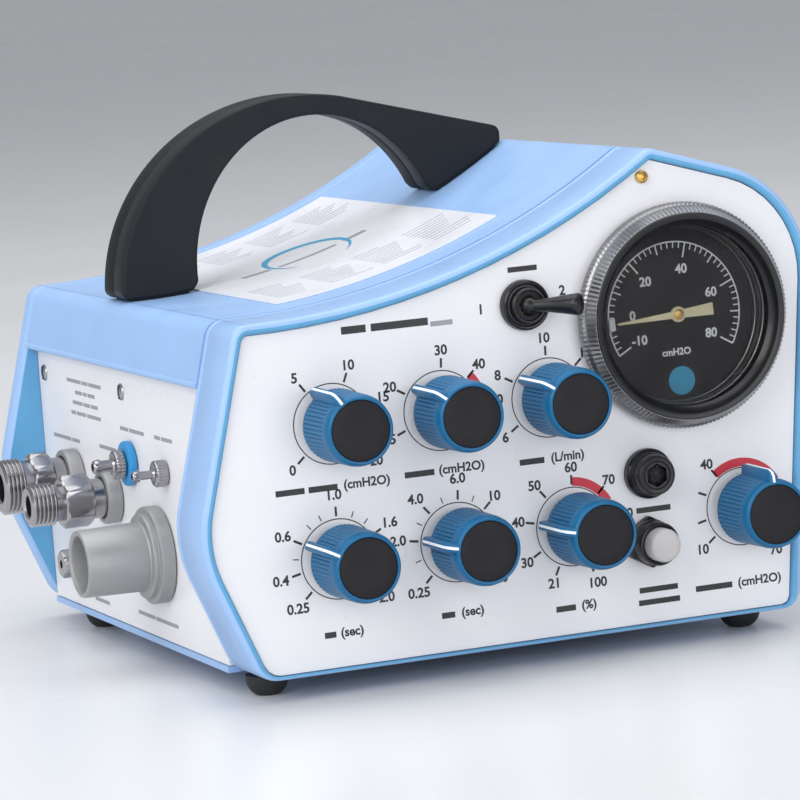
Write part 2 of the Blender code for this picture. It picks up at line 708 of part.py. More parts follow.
def make_alarm():
    """Alarm indicator: stepped bezel, clear lens and the two-colour ball behind it."""
    centre = (ALARM_X, 0, ALARM_Z)
    turned("alarm_body", [(0, 1.5), (4.4, 1.5), (4.4, -8.4), (6.2, -8.4), (6.7, -7.6),
                          (7.0, -3.6), (7.6, -3.2), (8.0, -2.6), (8.0, -GAP), (4.8, -GAP),
                          (4.8, 14.0), (0, 14.0)], centre, "toggle_black", segments=20)
    turned("alarm_lens", [(0, -9.6), (2.2, -9.3), (3.6, -8.6), (4.1, -7.8), (4.1, -7.0),
                          (0, -7.0)], centre, "clear", segments=24)
    radius = 3.3
    steps = 8
    ball = [(0, -radius)]
    for step in range(1, steps):
        turn = pi * step / steps
        ball.append((radius * sin(turn), -radius * cos(turn)))
    ball.append((0, radius))
    turned("alarm_ball", ball, (ALARM_X, -3.0, ALARM_Z), "signal_red", segments=16)


def make_button():
    """Reset and silence button: hexagonal nut with a bushing, and the plunger."""
    segments = 24
    levels = [(circle, 4.6, 16.0), (circle, 4.6, -GAP), (hexagon, 8.4, -GAP), (hexagon, 8.4, -3.6),
              (circle, 7.1, -4.4), (circle, 6.8, -9.0), (circle, 6.4, -9.4), (circle, 5.7, -9.4),
              (circle, 5.7, -1.0)]
    layers = [layer_xz(shape(radius, segments), y) for shape, radius, y in levels]
    add_object("button_body", loft_mesh("button_body", layers), "toggle_black",
               (BUTTON_X, 0, BUTTON_Z))
    turned("button_plunger", [(0, BUTTON_FRONT), (BUTTON_RADIUS - 0.7, BUTTON_FRONT),
                              (BUTTON_RADIUS, BUTTON_FRONT + 0.7), (BUTTON_RADIUS, -6.5),
                              (2.2, -6.5), (2.2, -4.4), (0, -4.4)],
           (BUTTON_X, 0, BUTTON_Z), "button_grey", segments=20)


def make_panel_screw():
    """Brass screw near the panel's apex."""
    turned("panel_screw", [(0, -1.9), (1.2, -1.8), (1.9, -1.2), (2.1, -GAP), (1.2, -GAP),
                           (1.2, 6.0), (0, 6.0)], (PANEL_SCREW[0], 0, PANEL_SCREW[1]), "brass",
           segments=16)


# Left connections. Distances run outward from the side panel's face.

def inner_end():
    """Return the distance of the fittings' inner ends."""
    return SIDE_PANEL_X - BARREL_INNER_X


def make_patient_port():
    """Conical patient tube with a stepped flange and a through bore."""
    end = inner_end()
    base = PATIENT_TIP_RADIUS + 0.3
    turned("patient_port", [(PATIENT_BORE, end), (PATIENT_BORE, PATIENT_REACH - 1.0),
                            (PATIENT_BORE + 0.5, PATIENT_REACH),
                            (PATIENT_TIP_RADIUS - 0.6, PATIENT_REACH),
                            (PATIENT_TIP_RADIUS, PATIENT_REACH - 0.8), (base, 7.2), (12.4, 6.8),
                            (13.4, 6.4), (13.6, 5.4), (15.2, 5.2), (16.0, 4.4), (16.0, GAP),
                            (11.5, GAP), (11.5, end)],
           (SIDE_PANEL_X, *PATIENT_PORT), "satin_metal", "x", 32)


def gas_inlet(name, centre, thread_radius, reach, hex_span, hex_corner, neck):
    """Threaded gas inlet: threaded nose, hexagon and a barrel that passes through the panel."""
    segments = 24
    hex_front, hex_back = hex_span
    end = inner_end()
    bore = thread_radius * 0.52
    levels = [(circle, bore, reach - 10.0), (circle, bore, reach), (circle, thread_radius - 0.8, reach)]
    crests = 3
    pitch = (reach - hex_front - 2.2) / crests
    for crest in range(crests):
        start = reach - 0.7 - crest * pitch
        levels += [(circle, thread_radius, start), (circle, thread_radius, start - pitch * 0.5),
                   (circle, thread_radius - 0.7, start - pitch * 0.75)]
    levels += [(circle, thread_radius - 0.7, hex_front), (hexagon, hex_corner - 0.8, hex_front),
               (hexagon, hex_corner, hex_front - 0.8), (hexagon, hex_corner, hex_back),
               (circle, neck, hex_back), (circle, neck, end)]
    layers = [layer_yz(shape(radius, segments), -distance) for shape, radius, distance in levels]
    add_object(name, loft_mesh(name, layers), "nickel", (SIDE_PANEL_X, *centre))


def collar(name, centre, bore, radius, depth, material, segments=32):
    """Round collar against the side panel."""
    turned(name, [(bore, GAP), (bore, depth), (radius - 0.6, depth), (radius, depth - 0.6),
                  (radius, GAP + 0.3), (radius - 0.3, GAP)], (SIDE_PANEL_X, *centre), material,
           "x", segments)


def hose_barb(name, centre, base, barb, reach, barrel):
    """Small hose barb on a round base; base is (radius, back, front)."""
    radius, back, front = base
    end = inner_end()
    bore = barb * 0.5
    turned(name, [(0, reach - 5.0), (bore, reach - 5.0), (bore, reach), (barb - 0.4, reach),
                  (barb + 0.3, reach - 2.2), (barb - 0.2, reach - 2.4), (barb - 0.2, front),
                  (radius - 0.4, front), (radius, front - 0.4), (radius, back), (barrel, back),
                  (barrel, end), (0, end)], (SIDE_PANEL_X, *centre), "nickel", "x", 20)


def make_connections():
    """All fittings on the side panel and its screws."""
    make_patient_port()
    gas_inlet("oxygen_inlet", OXYGEN_INLET, 7.14, OXYGEN_REACH, (19.6, 9.6), 9.2, 6.8)
    collar("oxygen_collar", OXYGEN_INLET, 7.1, 9.0, 5.3, "satin_metal")
    gas_inlet("air_inlet", AIR_INLET, 9.5, 28.0, (17.6, 10.0), 10.9, 8.3)
    collar("air_collar", AIR_INLET, 8.6, 10.6, 5.5, "satin_metal")
    hose_barb("proximal_port", PROXIMAL_PORT, (4.9, 3.1, 6.6), 2.2, 13.5, 2.8)
    collar("proximal_ring", PROXIMAL_PORT, 3.1, 7.5, 2.8, "ring_blue", 28)
    hose_barb("exhalation_port", EXHALATION_PORT, (4.4, GAP, 4.4), 1.6, 11.6, 2.3)
    segments = 24
    levels = [(circle, 1.6, 3.4), (circle, 1.6, 5.2), (hexagon, 4.6, 5.2), (hexagon, 5.2, 4.6),
              (hexagon, 5.2, GAP), (circle, 3.0, GAP), (circle, 3.0, inner_end())]
    layers = [layer_yz(shape(radius, segments), -distance) for shape, radius, distance in levels]
    add_object("relief_plug", loft_mesh("relief_plug", layers), "nickel",
               (SIDE_PANEL_X, *RELIEF_PLUG))
    for number, centre in enumerate(SIDE_SCREWS, 1):
        turned("side_screw_%d" % number, [(0, 1.9), (1.6, 1.7), (2.6, 1.1), (2.9, GAP), (1.5, GAP),
                                          (1.5, -7.0), (0, -7.0)],
               (SIDE_PANEL_X, *centre), "nickel", "x", 16)


# Inside.

def make_interior():
    """Manifold block behind the fittings and the regulator mounted on it."""
    block = box("manifold_block", BLOCK_LOW, BLOCK_HIGH, "aluminium")
    soften(block, 1.5, 1)
    y, z = REGULATOR_CENTRE
    start = BLOCK_HIGH[0] + GAP
    profile = [(0, 0), (12.0, 0), (12.0, -8.0), (18.0, -9.0), (18.0, -26.0), (14.0, -32.0),
               (6.0, -34.0), (0, -34.0)]
    turned("gas_regulator", profile, (start, y, z), "aluminium", "x", 24)


def clear_scene():
    """Remove whatever the scene holds."""
    for thing in list(bpy.data.objects):
        bpy.data.objects.remove(thing, do_unlink=True)


def main():
    """Build the whole ventilator."""
    clear_scene()
    make_front_bezel()
    make_rear_shell()
    make_top_cover()
    make_panels()
    make_label()
    make_handle()
    make_feet()
    make_knobs()
    make_gauge()
    make_toggle()
    make_alarm()
    make_button()
    make_panel_screw()
    make_connections()
    make_interior()


main()
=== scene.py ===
"""Looks of the portable pneumatic ventilator: fine shells, printing, knobs, gauge, fittings.

Positions are in millimetres in the case frame of the CAD model: x to the right along the front
panel, y from the panel's face to the rear, z up from the panel's bottom edge. The base plate's
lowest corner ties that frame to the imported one.
"""

import json
from math import acos, atan2, cos, pi, radians, sin, sqrt, tau

import bmesh
import bpy
from mathutils import Matrix, Vector

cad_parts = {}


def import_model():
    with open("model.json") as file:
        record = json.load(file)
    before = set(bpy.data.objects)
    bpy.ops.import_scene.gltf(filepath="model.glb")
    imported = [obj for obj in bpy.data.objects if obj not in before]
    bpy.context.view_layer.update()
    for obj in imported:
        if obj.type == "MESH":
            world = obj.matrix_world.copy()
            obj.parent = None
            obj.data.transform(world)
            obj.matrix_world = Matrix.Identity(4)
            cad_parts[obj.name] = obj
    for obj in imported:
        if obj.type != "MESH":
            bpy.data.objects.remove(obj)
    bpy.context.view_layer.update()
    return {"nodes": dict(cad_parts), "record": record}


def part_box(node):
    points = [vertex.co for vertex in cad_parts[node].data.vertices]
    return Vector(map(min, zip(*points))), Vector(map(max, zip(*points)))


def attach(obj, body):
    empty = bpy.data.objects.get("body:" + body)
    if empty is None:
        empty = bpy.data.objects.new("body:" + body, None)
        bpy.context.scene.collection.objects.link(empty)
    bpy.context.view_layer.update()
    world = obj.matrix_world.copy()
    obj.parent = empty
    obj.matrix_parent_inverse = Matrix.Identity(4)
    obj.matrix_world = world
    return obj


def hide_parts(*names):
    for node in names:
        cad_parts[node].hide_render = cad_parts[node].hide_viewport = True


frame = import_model()

MM = 0.001
BASE_LOW = (-3.5, 24.3, -1.2)
ORIGIN = Vector(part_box("base_plate")[0]) - Vector(BASE_LOW) * MM

# Case outline: the edge of the front panel, as part.py has it.
BOTTOM_LEFT = (1.4, 0.0)
LEFT_KNEE = (-15.7, 42.1)
TOP_LEFT = (0.9, 106.5)
APEX = (141.5, 148.0)
RIGHT_SHOULDER = (194.2, 131.7)
BOTTOM_RIGHT = (181.0, 0.0)
TOP_ARC_RADIUS = 250.0
TOP_ARC_STEPS = 40
# Corners: rounding radius and number of steps.
CORNERS = {"bottom_left": (6.0, 8), "knee": (35.0, 16), "top_left": (2.5, 8), "apex": (0.8, 2),
           "shoulder": (33.0, 24), "bottom_right": (3.0, 6)}
RIM = 3.4
BOTTOM_RIM = 1.2
BEZEL_DEPTH = 24.0
REAR_FACE = 206.0
CASE_DEPTH = 217.0
COVER_WALL = 2.6
GAP = 0.3
LIP_Z = 88.8
SIDE_X = -3.0
PRINT = 0.03

# Knobs: centre x and z, pointer angle clockwise from up, unit, scale ticks as (angle, label).
# The label "-" is a full tick without a number, and an empty one is a short tick.
KNOBS = {
    "peep": (28.1, 76.3, -32.0, "(cmH2O)",
             [(-133, "0"), (-36, "5"), (22, "10"), (70, "15"), (133, "20")]),
    "inspiratory_pressure": (64.8, 76.3, -51.0, "(cmH2O)",
                             [(-112, "15"), (-61, "20"), (4, "30"), (46, "40"), (86, "50")]),
    "inspiratory_flow": (101.4, 76.3, -56.0, "(L/min)",
                         [(-125, "6"), (-62, "8"), (0, "10"), (47, "15")]),
    "inspiratory_time": (27.3, 34.1, -62.0, "(sec)",
                         [(-133, "0.25"), (-103, "0.4"), (-84, ""), (-63, "0.6"), (-40, ""),
                          (-22, ""), (0, "1.0"), (22, ""), (42, ""), (62, "1.6"), (133, "2.0")]),
    "expiratory_time": (67.2, 34.4, -79.0, "(sec)",
                        [(-135, "0.25"), (-108, ""), (-82, "2.0"), (-60, ""), (-41, "4.0"),
                         (-18, ""), (4, "6.0"), (25, ""), (46, "10"), (133, "20")]),
    "oxygen": (106.7, 34.5, -79.0, "(%)",
               [(-155, "21"), (-120, "30"), (-79, "40"), (-40, "50"), (2, "60"), (45, "70"),
                (84, "80"), (158, "100")]),
    "alarm_pressure": (166.3, 33.8, -2.0, "(cmH2O)",
                       [(-130, "10"), (-103, "-"), (-68, "-"), (-38, "40"), (144, "70")]),
}
# Captions: left and right end of the blank words, height, right end of the unit, word shares.
CAPTIONS = {"peep": (8.0, 28.5, 56.6, 46.5, [4, 4]),
            "inspiratory_pressure": (51.0, 61.0, 57.4, 78.0, [1]),
            "inspiratory_flow": (90.0, 98.5, 56.8, 113.0, [1]),
            "inspiratory_time": (20.6, 24.4, 10.7, 33.6, [1]),
            "expiratory_time": (60.0, 64.5, 11.8, 75.0, [1]),
            "oxygen": (99.0, 105.8, 8.7, 113.5, [1]),
            "alarm_pressure": (148.0, 161.0, 9.0, 179.0, [1])}
# Red arcs: first and last angle.
RED_ARCS = {"inspiratory_pressure": (46, 100), "oxygen": (3, 62), "alarm_pressure": (-38, 60)}
RING_RADIUS = 12.7
RING_WIDTH = 0.35
TICK_START = 13.4
TICK_END = 16.4
TICK_WIDTH = 0.75
SHORT_TICK_WIDTH = 0.35
CAPTION_HEIGHT = 1.9
LABEL_RADIUS = 19.0
DIGIT_SIZE = 4.35
STROKE = 0.03
KNOB_RADIUS = 11.2
KNOB_FRONT = -25.4
KNOB_BACK = -5.0
KNOB_RIBS = 52
KNOB_RIB_HEIGHT = 0.42
FIN_RADIUS = 14.4
CAP_RADIUS = 9.45

GAUGE = (148.2, 97.8)
GAUGE_RADIUS = 36.1
GAUGE_KNURLS = 150
KNURL_HEIGHT = 0.6
DIAL_Y = 3.0
SCALE_RADIUS = 23.0
ZERO_ANGLE = -93.3
DEGREES_PER_UNIT = 2.667
NEEDLE_ANGLE = -93.0

# Fittings: (x, z) on the front panel, (y, z) on the side panel, (x, y) for the feet.
TOGGLE = (94.9, 106.4)
TOGGLE_PIVOT_Y = -4.8
LAMP = (133.4, 48.5)
BUTTON = (132.4, 26.6)
PANEL_SCREW = (138.4, 142.6)
PATIENT_PORT = (84.0, 29.8)
OXYGEN_INLET = (128.0, 44.4)
AIR_INLET = (170.0, 46.0)
PROXIMAL_PORT = (108.0, 57.4)
EXHALATION_PORT = (72.5, 57.6)
RELIEF_PLUG = (181.0, 15.5)
SIDE_SCREWS = ((113.3, 80.6), (199.0, 80.6))
FEET = {"front_left": (6.5, 17.0), "front_right": (171.0, 17.0),
        "rear_left": (6.5, 182.0), "rear_right": (171.0, 182.0)}
HANDLE_FRONT = 112.0
HANDLE_BACK = 132.0
LABEL_X = (27.0, 104.5)
LABEL_Y = (39.0, 199.0)
QUARTER_TURN = [pi / 2 * step / 6 for step in range(7)]


def world(point):
    """Return a case-frame point in the frame, in metres."""
    return ORIGIN + Vector(point) * MM


# Materials.

def new_material(name):
    """Return a fresh node material and its parts."""
    material = bpy.data.materials.new(name)
    material.use_nodes = True
    tree = material.node_tree
    return material, tree, tree.nodes["Principled BSDF"]


def add_noise(tree, scale, detail=2.0):
    """Add a noise texture in object space; scale is features per metre."""
    coordinates = tree.nodes.new("ShaderNodeTexCoord")
    noise = tree.nodes.new("ShaderNodeTexNoise")
    noise.inputs["Scale"].default_value = scale
    noise.inputs["Detail"].default_value = detail
    tree.links.new(coordinates.outputs["Object"], noise.inputs["Vector"])
    return noise


def add_range(tree, source, low, high):
    """Map a noise's middle range onto low to high."""
    mapped = tree.nodes.new("ShaderNodeMapRange")
    mapped.inputs["From Min"].default_value = 0.3
    mapped.inputs["From Max"].default_value = 0.7
    mapped.inputs["To Min"].default_value = low
    mapped.inputs["To Max"].default_value = high
    tree.links.new(source, mapped.inputs["Value"])
    return mapped.outputs["Result"]


def surface(name, colour, roughness, metallic=0.0, grain=(1500.0, 0.00002), mottle=0.06,
            coat=0.0, specular=0.5, smudge=60.0):
    """Moulded or machined surface: mottled colour, uneven roughness and a fine grain."""
    material, tree, shader = new_material(name)
    broad = add_noise(tree, smudge, 3.0)
    mix = tree.nodes.new("ShaderNodeMix")
    mix.data_type = "RGBA"
    darker = [channel * (1 - mottle) for channel in colour]
    lighter = [min(1.0, channel * (1 + mottle)) for channel in colour]
    mix.inputs["A"].default_value = (*darker, 1)
    mix.inputs["B"].default_value = (*lighter, 1)
    tree.links.new(add_range(tree, broad.outputs["Fac"], 0, 1), mix.inputs["Factor"])
    tree.links.new(mix.outputs["Result"], shader.inputs["Base Color"])
    uneven = add_range(tree, broad.outputs["Fac"], roughness * 0.85, min(1.0, roughness * 1.15))
    tree.links.new(uneven, shader.inputs["Roughness"])
    fine = add_noise(tree, grain[0], 2.0)
    bump = tree.nodes.new("ShaderNodeBump")
    bump.inputs["Strength"].default_value = 1.0
    bump.inputs["Distance"].default_value = grain[1]
    tree.links.new(fine.outputs["Fac"], bump.inputs["Height"])
    tree.links.new(bump.outputs["Normal"], shader.inputs["Normal"])
    shader.inputs["Metallic"].default_value = metallic
    shader.inputs["Coat Weight"].default_value = coat
    shader.inputs["Coat Roughness"].default_value = 0.12
    shader.inputs["Specular IOR Level"].default_value = specular
    return material


def clear_window(name):
    """Clear moulded plastic with faint scuffs: mostly see-through, with a little gloss."""
    material, tree, shader = new_material(name)
    shader.inputs["Base Color"].default_value = (0.02, 0.02, 0.022, 1)
    shader.inputs["Roughness"].default_value = 0.05
    scuffs = add_noise(tree, 120.0, 4.0)
    tree.links.new(add_range(tree, scuffs.outputs["Fac"], 0.14, 0.22), shader.inputs["Alpha"])
    return material


MATERIALS = {
    "case_blue": surface("case_blue_plastic", (0.30, 0.475, 0.77), 0.42, mottle=0.02,
                         grain=(1400, 0.00003)),
    "panel_white": surface("panel_white_film", (0.77, 0.77, 0.80), 0.32, mottle=0.008,
                           grain=(2500, 0.000006)),
    "label_white": surface("label_film", (0.83, 0.84, 0.89), 0.30, mottle=0.02, coat=0.3,
                           grain=(900, 0.000006)),
    "handle_black": surface("handle_grained_plastic", (0.006, 0.007, 0.010), 0.55, mottle=0.2,
                            grain=(1100, 0.00007), specular=0.28),
    "rubber_black": surface("foot_rubber", (0.012, 0.012, 0.014), 0.6, mottle=0.2,
                            grain=(900, 0.00005)),
    "knob_blue": surface("knob_plastic", (0.003, 0.115, 0.265), 0.4, mottle=0.1, specular=0.35,
                         grain=(1800, 0.00002)),
    "cap_black": surface("cap_plastic", (0.009, 0.008, 0.011), 0.62, mottle=0.08,
                         grain=(2600, 0.00003), specular=0.3),
    "gauge_black": surface("dial_paint", (0.004, 0.004, 0.006), 0.6, mottle=0.1,
                           grain=(900, 0.0000002), specular=0.2),
    "bezel_metal": surface("knurled_steel", (0.30, 0.30, 0.305), 0.34, 1.0, mottle=0.15,
                           grain=(2500, 0.00002)),
    "needle_cream": surface("needle_paint", (0.78, 0.70, 0.45), 0.45, mottle=0.03,
                            grain=(1500, 0.00001)),
    "clear": clear_window("clear_window"),
    "toggle_black": surface("black_fitting_plastic", (0.007, 0.007, 0.009), 0.3, mottle=0.2,
                            coat=0.1, grain=(1500, 0.00002), specular=0.35),
    "button_grey": surface("button_plastic", (0.50, 0.48, 0.48), 0.38, mottle=0.03,
                           grain=(1800, 0.00002)),
    "satin_metal": surface("blasted_aluminium", (0.36, 0.36, 0.36), 0.5, 0.6, mottle=0.06,
                           grain=(2600, 0.00005)),
    "nickel": surface("nickel_plate", (0.36, 0.35, 0.36), 0.24, 1.0, mottle=0.08,
                      grain=(1200, 0.000012)),
    "brass": surface("brass_turned", (0.62, 0.40, 0.12), 0.28, 1.0, mottle=0.1,
                     grain=(1500, 0.00002)),
    "ring_blue": surface("ring_plastic", (0.02, 0.25, 0.55), 0.4, mottle=0.06),
    "aluminium": surface("machined_aluminium", (0.60, 0.61, 0.63), 0.35, 1.0, mottle=0.08),
    "signal_red": surface("signal_red", (0.58, 0.02, 0.035), 0.35, mottle=0.05),
}
TRIM = {
    # Deeper, more saturated blue: the band along the rim's inner edge, and painted shade on the
    # sheet at the recess.
    "teal_and_painted_shade": surface("deep_blue_and_painted_shade", (0.11, 0.36, 0.62), 0.4, grain=(1400, 0.00002)),
    "ink_black": surface("ink_black", (0.02, 0.02, 0.023), 0.5, mottle=0.05),
    "ink_red": surface("ink_red", (0.55, 0.028, 0.05), 0.45, mottle=0.04),
    "ink_white": surface("ink_white", (0.86, 0.87, 0.88), 0.5, mottle=0.02),
    "ink_grey": surface("ink_grey", (0.30, 0.31, 0.34), 0.5, mottle=0.05),
    "ink_pale": surface("ink_pale", (0.36, 0.37, 0.43), 0.5, mottle=0.05),
    "ink_blue": surface("ink_blue", (0.02, 0.34, 0.58), 0.45, mottle=0.05),
    # Near-black: the toggle washer's own colour, painted shade in the screw slots, and the handle
    # pads, which also paint the shadow line under the handle.
    "black_and_painted_shade": surface("dark_fill_and_painted_shade", (0.01, 0.012, 0.016), 0.8, mottle=0.1),
}


# Plane geometry, as (x, z) points seen from the front; outward is left of travel.

def line_through(start, end, offset):
    """Return a point and unit direction of the line, moved outward by offset."""
    run = Vector((end[0] - start[0], end[1] - start[1])).normalized()
    return Vector(start) + Vector((-run.y, run.x)) * offset, run


def meet(line_a, line_b):
    """Return where two lines cross."""
    (point_a, run_a), (point_b, run_b) = line_a, line_b
    cross = run_a.x * run_b.y - run_a.y * run_b.x
    between = point_b - point_a
    return point_a + run_a * ((between.x * run_b.y - between.y * run_b.x) / cross)


def arc_centre():
    """Return the centre of the concave top's arc."""
    start = Vector(TOP_LEFT)
    half = (Vector(APEX) - start) / 2
    height = sqrt(TOP_ARC_RADIUS ** 2 - half.length_squared)
    return start + half + Vector((-half.y, half.x)).normalized() * height


def meet_arc(line, centre, radius, near):
    """Return where a line crosses a circle, at the crossing closer to a given point."""
    point, run = line
    foot = point + run * (centre - point).dot(run)
    half = sqrt(radius ** 2 - (centre - foot).length_squared)
    return min((foot - run * half, foot + run * half), key=lambda end: (end - near).length)


def fillet(before, corner, after, radius, steps):
    """Return the points of an arc that rounds a corner."""
    to_before = (before - corner).normalized()
    to_after = (after - corner).normalized()
    angle = acos(max(-1.0, min(1.0, to_before.dot(to_after))))
    reach = radius * cos(angle / 2) / sin(angle / 2)
    centre = corner + (to_before + to_after).normalized() * (radius / sin(angle / 2))
    first = corner + to_before * reach - centre
    last = corner + to_after * reach - centre
    start = atan2(first.y, first.x)
    sweep = (atan2(last.y, last.x) - start + pi) % tau - pi
    angles = [start + sweep * step / steps for step in range(steps + 1)]
    return [centre + Vector((cos(a), sin(a))) * radius for a in angles]


def case_outline(offset):
    """Return the case outline, moved outward by offset from the front panel's edge."""
    drop = offset * BOTTOM_RIM / RIM if offset > 0 else offset
    bottom = line_through(BOTTOM_RIGHT, BOTTOM_LEFT, drop)
    lower_left = line_through(BOTTOM_LEFT, LEFT_KNEE, offset)
    upper_left = line_through(LEFT_KNEE, TOP_LEFT, offset)
    slope = line_through(APEX, RIGHT_SHOULDER, offset)
    right = line_through(RIGHT_SHOULDER, BOTTOM_RIGHT, offset)
    centre = arc_centre()
    radius = TOP_ARC_RADIUS - offset
    top_left = meet_arc(upper_left, centre, radius, Vector(TOP_LEFT))
    apex = meet_arc(slope, centre, radius, Vector(APEX))
    first = atan2(top_left.y - centre.y, top_left.x - centre.x)
    last = atan2(apex.y - centre.y, apex.x - centre.x)
    arc = []
    for step in range(1, TOP_ARC_STEPS):
        angle = first + (last - first) * step / TOP_ARC_STEPS
        arc.append(centre + Vector((cos(angle), sin(angle))) * radius)
    corners = [meet(bottom, lower_left), meet(lower_left, upper_left), top_left] + arc
    corners += [apex, meet(slope, right), meet(right, bottom)]
    names = ["bottom_left", "knee", "top_left"] + [None] * len(arc)
    names += ["apex", "shoulder", "bottom_right"]
    points = []
    for index, corner in enumerate(corners):
        if names[index] is None:
            points.append(corner)
            continue
        rounding, steps = CORNERS[names[index]]
        after = corners[(index + 1) % len(corners)]
        points += fillet(corners[index - 1], corner, after, max(rounding + offset, 0.4), steps)
    return points


def left_edge(z, offset):
    """Return x on the straight upper-left side at height z."""
    point, run = line_through(LEFT_KNEE, TOP_LEFT, offset)
    return point.x + run.x * (z - point.y) / run.y


def spread(first, last, steps):
    """Return evenly spaced values from first to last."""
    return [first + (last - first) * step / steps for step in range(steps + 1)]


def top_surface(x, offset):
    """Return z on the concave top at x."""
    centre = arc_centre()
    return centre.y - sqrt((TOP_ARC_RADIUS - offset) ** 2 - (x - centre.x) ** 2)


def strip_outline(x_span, low, high, steps):
    """Return a thin strip on the concave top, between two lifts above the rim's offset."""
    xs = spread(*x_span, steps)
    lower = [Vector((x, top_surface(x, RIM + low))) for x in xs]
    return lower + [Vector((x, top_surface(x, RIM + high))) for x in reversed(xs)]


def clip(points, limit):
    """Cut an outline along the vertical line x = limit and keep its left side."""
    kept = []
    for index, point in enumerate(points):
        previous = points[index - 1]
        if (point.x < limit) != (previous.x < limit):
            share = (limit - previous.x) / (point.x - previous.x)
            kept.append(previous + (point - previous) * share)
        if point.x < limit:
            kept.append(point)
    return kept


def offset_loop(points, distance):
    """Move a closed clockwise loop outward by distance, mitring its corners."""
    moved = []
    for index, point in enumerate(points):
        run_in = (point - points[index - 1]).normalized()
        run_out = (points[(index + 1) % len(points)] - point).normalized()
        normal_in = Vector((-run_in.y, run_in.x))
        normal_out = Vector((-run_out.y, run_out.x))
        bisector = (normal_in + normal_out).normalized()
        moved.append(point + bisector * (distance / max(bisector.dot(normal_in), 0.5)))
    return moved


def round_corners(points, radius, steps):
    """Round every corner of a loop that turns by more than about 25 degrees."""
    rounded = []
    for index, point in enumerate(points):
        before = points[index - 1]
        after = points[(index + 1) % len(points)]
        if (point - before).angle(after - point) < radians(25):
            rounded.append(point)
        else:
            rounded += fillet(before, point, after, radius, steps)
    return rounded


# Mesh building. Meshes are made in millimetres about a local origin.

def circle(radius, segments):
    """Return a circle's points as (across, up), starting straight up and going clockwise."""
    turns = [tau * step / segments for step in range(segments)]
    return [Vector((sin(turn), cos(turn))) * radius for turn in turns]


def nut(flat, limit, segments):
    """Return a hexagon of half-width flat, cut back to a circle of radius limit."""
    points = []
    for step in range(segments):
        turn = tau * step / segments
        reach = flat / cos((turn % (pi / 3)) - pi / 6)
        points.append(Vector((sin(turn), cos(turn))) * min(reach, limit))
    return points


def finish_mesh(name, bm, sharp_degrees=32.0):
    """Turn a bmesh in millimetres into a smooth-shaded mesh in metres."""
    bmesh.ops.recalc_face_normals(bm, faces=bm.faces)
    bmesh.ops.scale(bm, vec=(MM, MM, MM), verts=bm.verts)
    mesh = bpy.data.meshes.new(name)
    bm.to_mesh(mesh)
    bm.free()
    mesh.shade_smooth()
    mesh.set_sharp_from_angle(angle=radians(sharp_degrees))
    return mesh


def add_loft(bm, layers, ring=False):
    """Join layers of 3-D points into a closed skin."""
    rows = [[bm.verts.new(point) for point in layer] for layer in layers]
    pairs = list(zip(rows, rows[1:]))
    if ring:
        pairs.append((rows[-1], rows[0]))
    for lower, upper in pairs:
        for index in range(len(lower)):
            after = (index + 1) % len(lower)
            bm.faces.new((lower[index], lower[after], upper[after], upper[index]))
    if not ring:
        bm.faces.new(rows[0])
        bm.faces.new(rows[-1])


def loft(name, layers, ring=False, sharp_degrees=32.0):
    """Return the mesh of one loft."""
    bm = bmesh.new()
    add_loft(bm, layers, ring)
    return finish_mesh(name, bm, sharp_degrees)


def layer_xz(points, y):
    """Lift front-view points to depth y."""
    return [(point[0], y, point[1]) for point in points]


def layer_yz(points, distance):
    """Place side-view points at a distance out from the side panel."""
    return [(-distance, point[0], point[1]) for point in points]


def slab(name, points, span, sharp_degrees=32.0):
    """Return the mesh of a front-view outline that runs between two depths."""
    return loft(name, [layer_xz(points, y) for y in span], sharp_degrees=sharp_degrees)


def fitting_layers(levels, segments, lay):
    """Return layers of (radius, distance) circles and (limit, distance, flat) hexagons."""
    layers = []
    for size, distance, *flat in levels:
        points = nut(flat[0], size, segments) if flat else circle(size, segments)
        layers.append(lay(points, distance))
    return layers


def ribbed_layers(levels, samples, rib, groove):
    """Return layers of (radius, rib share, y) circles, cut by rib times groove(step)."""
    directions = circle(1.0, samples)
    return [layer_xz([direction * (radius - rib * share * groove(step))
                      for step, direction in enumerate(directions)], y)
            for radius, share, y in levels]


def turned(name, profile, segments=64, direction="y", sharp_degrees=32.0):
    """Return a turned mesh from (radius, distance) pairs; its ends lie on the axis or meet."""
    lifts = {"y": lambda across, up, distance: (across, distance, up),
             "x": lambda across, up, distance: (-distance, across, up),
             "z": lambda across, up, distance: (across, up, distance)}
    lift = lifts[direction]
    bm = bmesh.new()
    rows = []
    for radius, distance in profile:
        if radius == 0:
            rows.append([bm.verts.new(lift(0, 0, distance))])
        else:
            rows.append([bm.verts.new(lift(point.x, point.y, distance))
                         for point in circle(radius, segments)])
    pairs = list(zip(rows, rows[1:]))
    if profile[0][0] > 0:
        pairs.append((rows[-1], rows[0]))
    for lower, upper in pairs:
        for index in range(segments):
            after = (index + 1) % segments
            corners = [lower[index % len(lower)], lower[after % len(lower)],
                       upper[after % len(upper)], upper[index % len(upper)]]
            bm.faces.new(list(dict.fromkeys(corners)))
    return finish_mesh(name, bm, sharp_degrees)


def place(name, mesh, slot, body="case", replaces=(), at=(0, 0, 0), turn=0.0, material=None):
    """Put a piece in the scene: where it is, what it rides on and what it stands for."""
    piece = bpy.data.objects.new(name, mesh)
    piece.matrix_world = Matrix.Translation(world(at)) @ Matrix.Rotation(radians(turn), 4, "Y")
    bpy.context.collection.objects.link(piece)
    mesh.materials.append(material or MATERIALS[slot])
    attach(piece, body)
    if replaces:
        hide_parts(*replaces)
    return piece


def place_print(name, bm, slot, ink, at=(0, 0, 0)):
    """Place printing gathered in a bmesh, in one of the inks."""
    place(name, finish_mesh(name, bm), slot, at=at, material=TRIM[ink])


# Printing: thin geometry just proud of the surface it is on.

def add_plate(bm, points, y):
    """Add a thin flat shape facing the front at depth y."""
    add_loft(bm, [layer_xz(points, y - PRINT), layer_xz(points, y)])


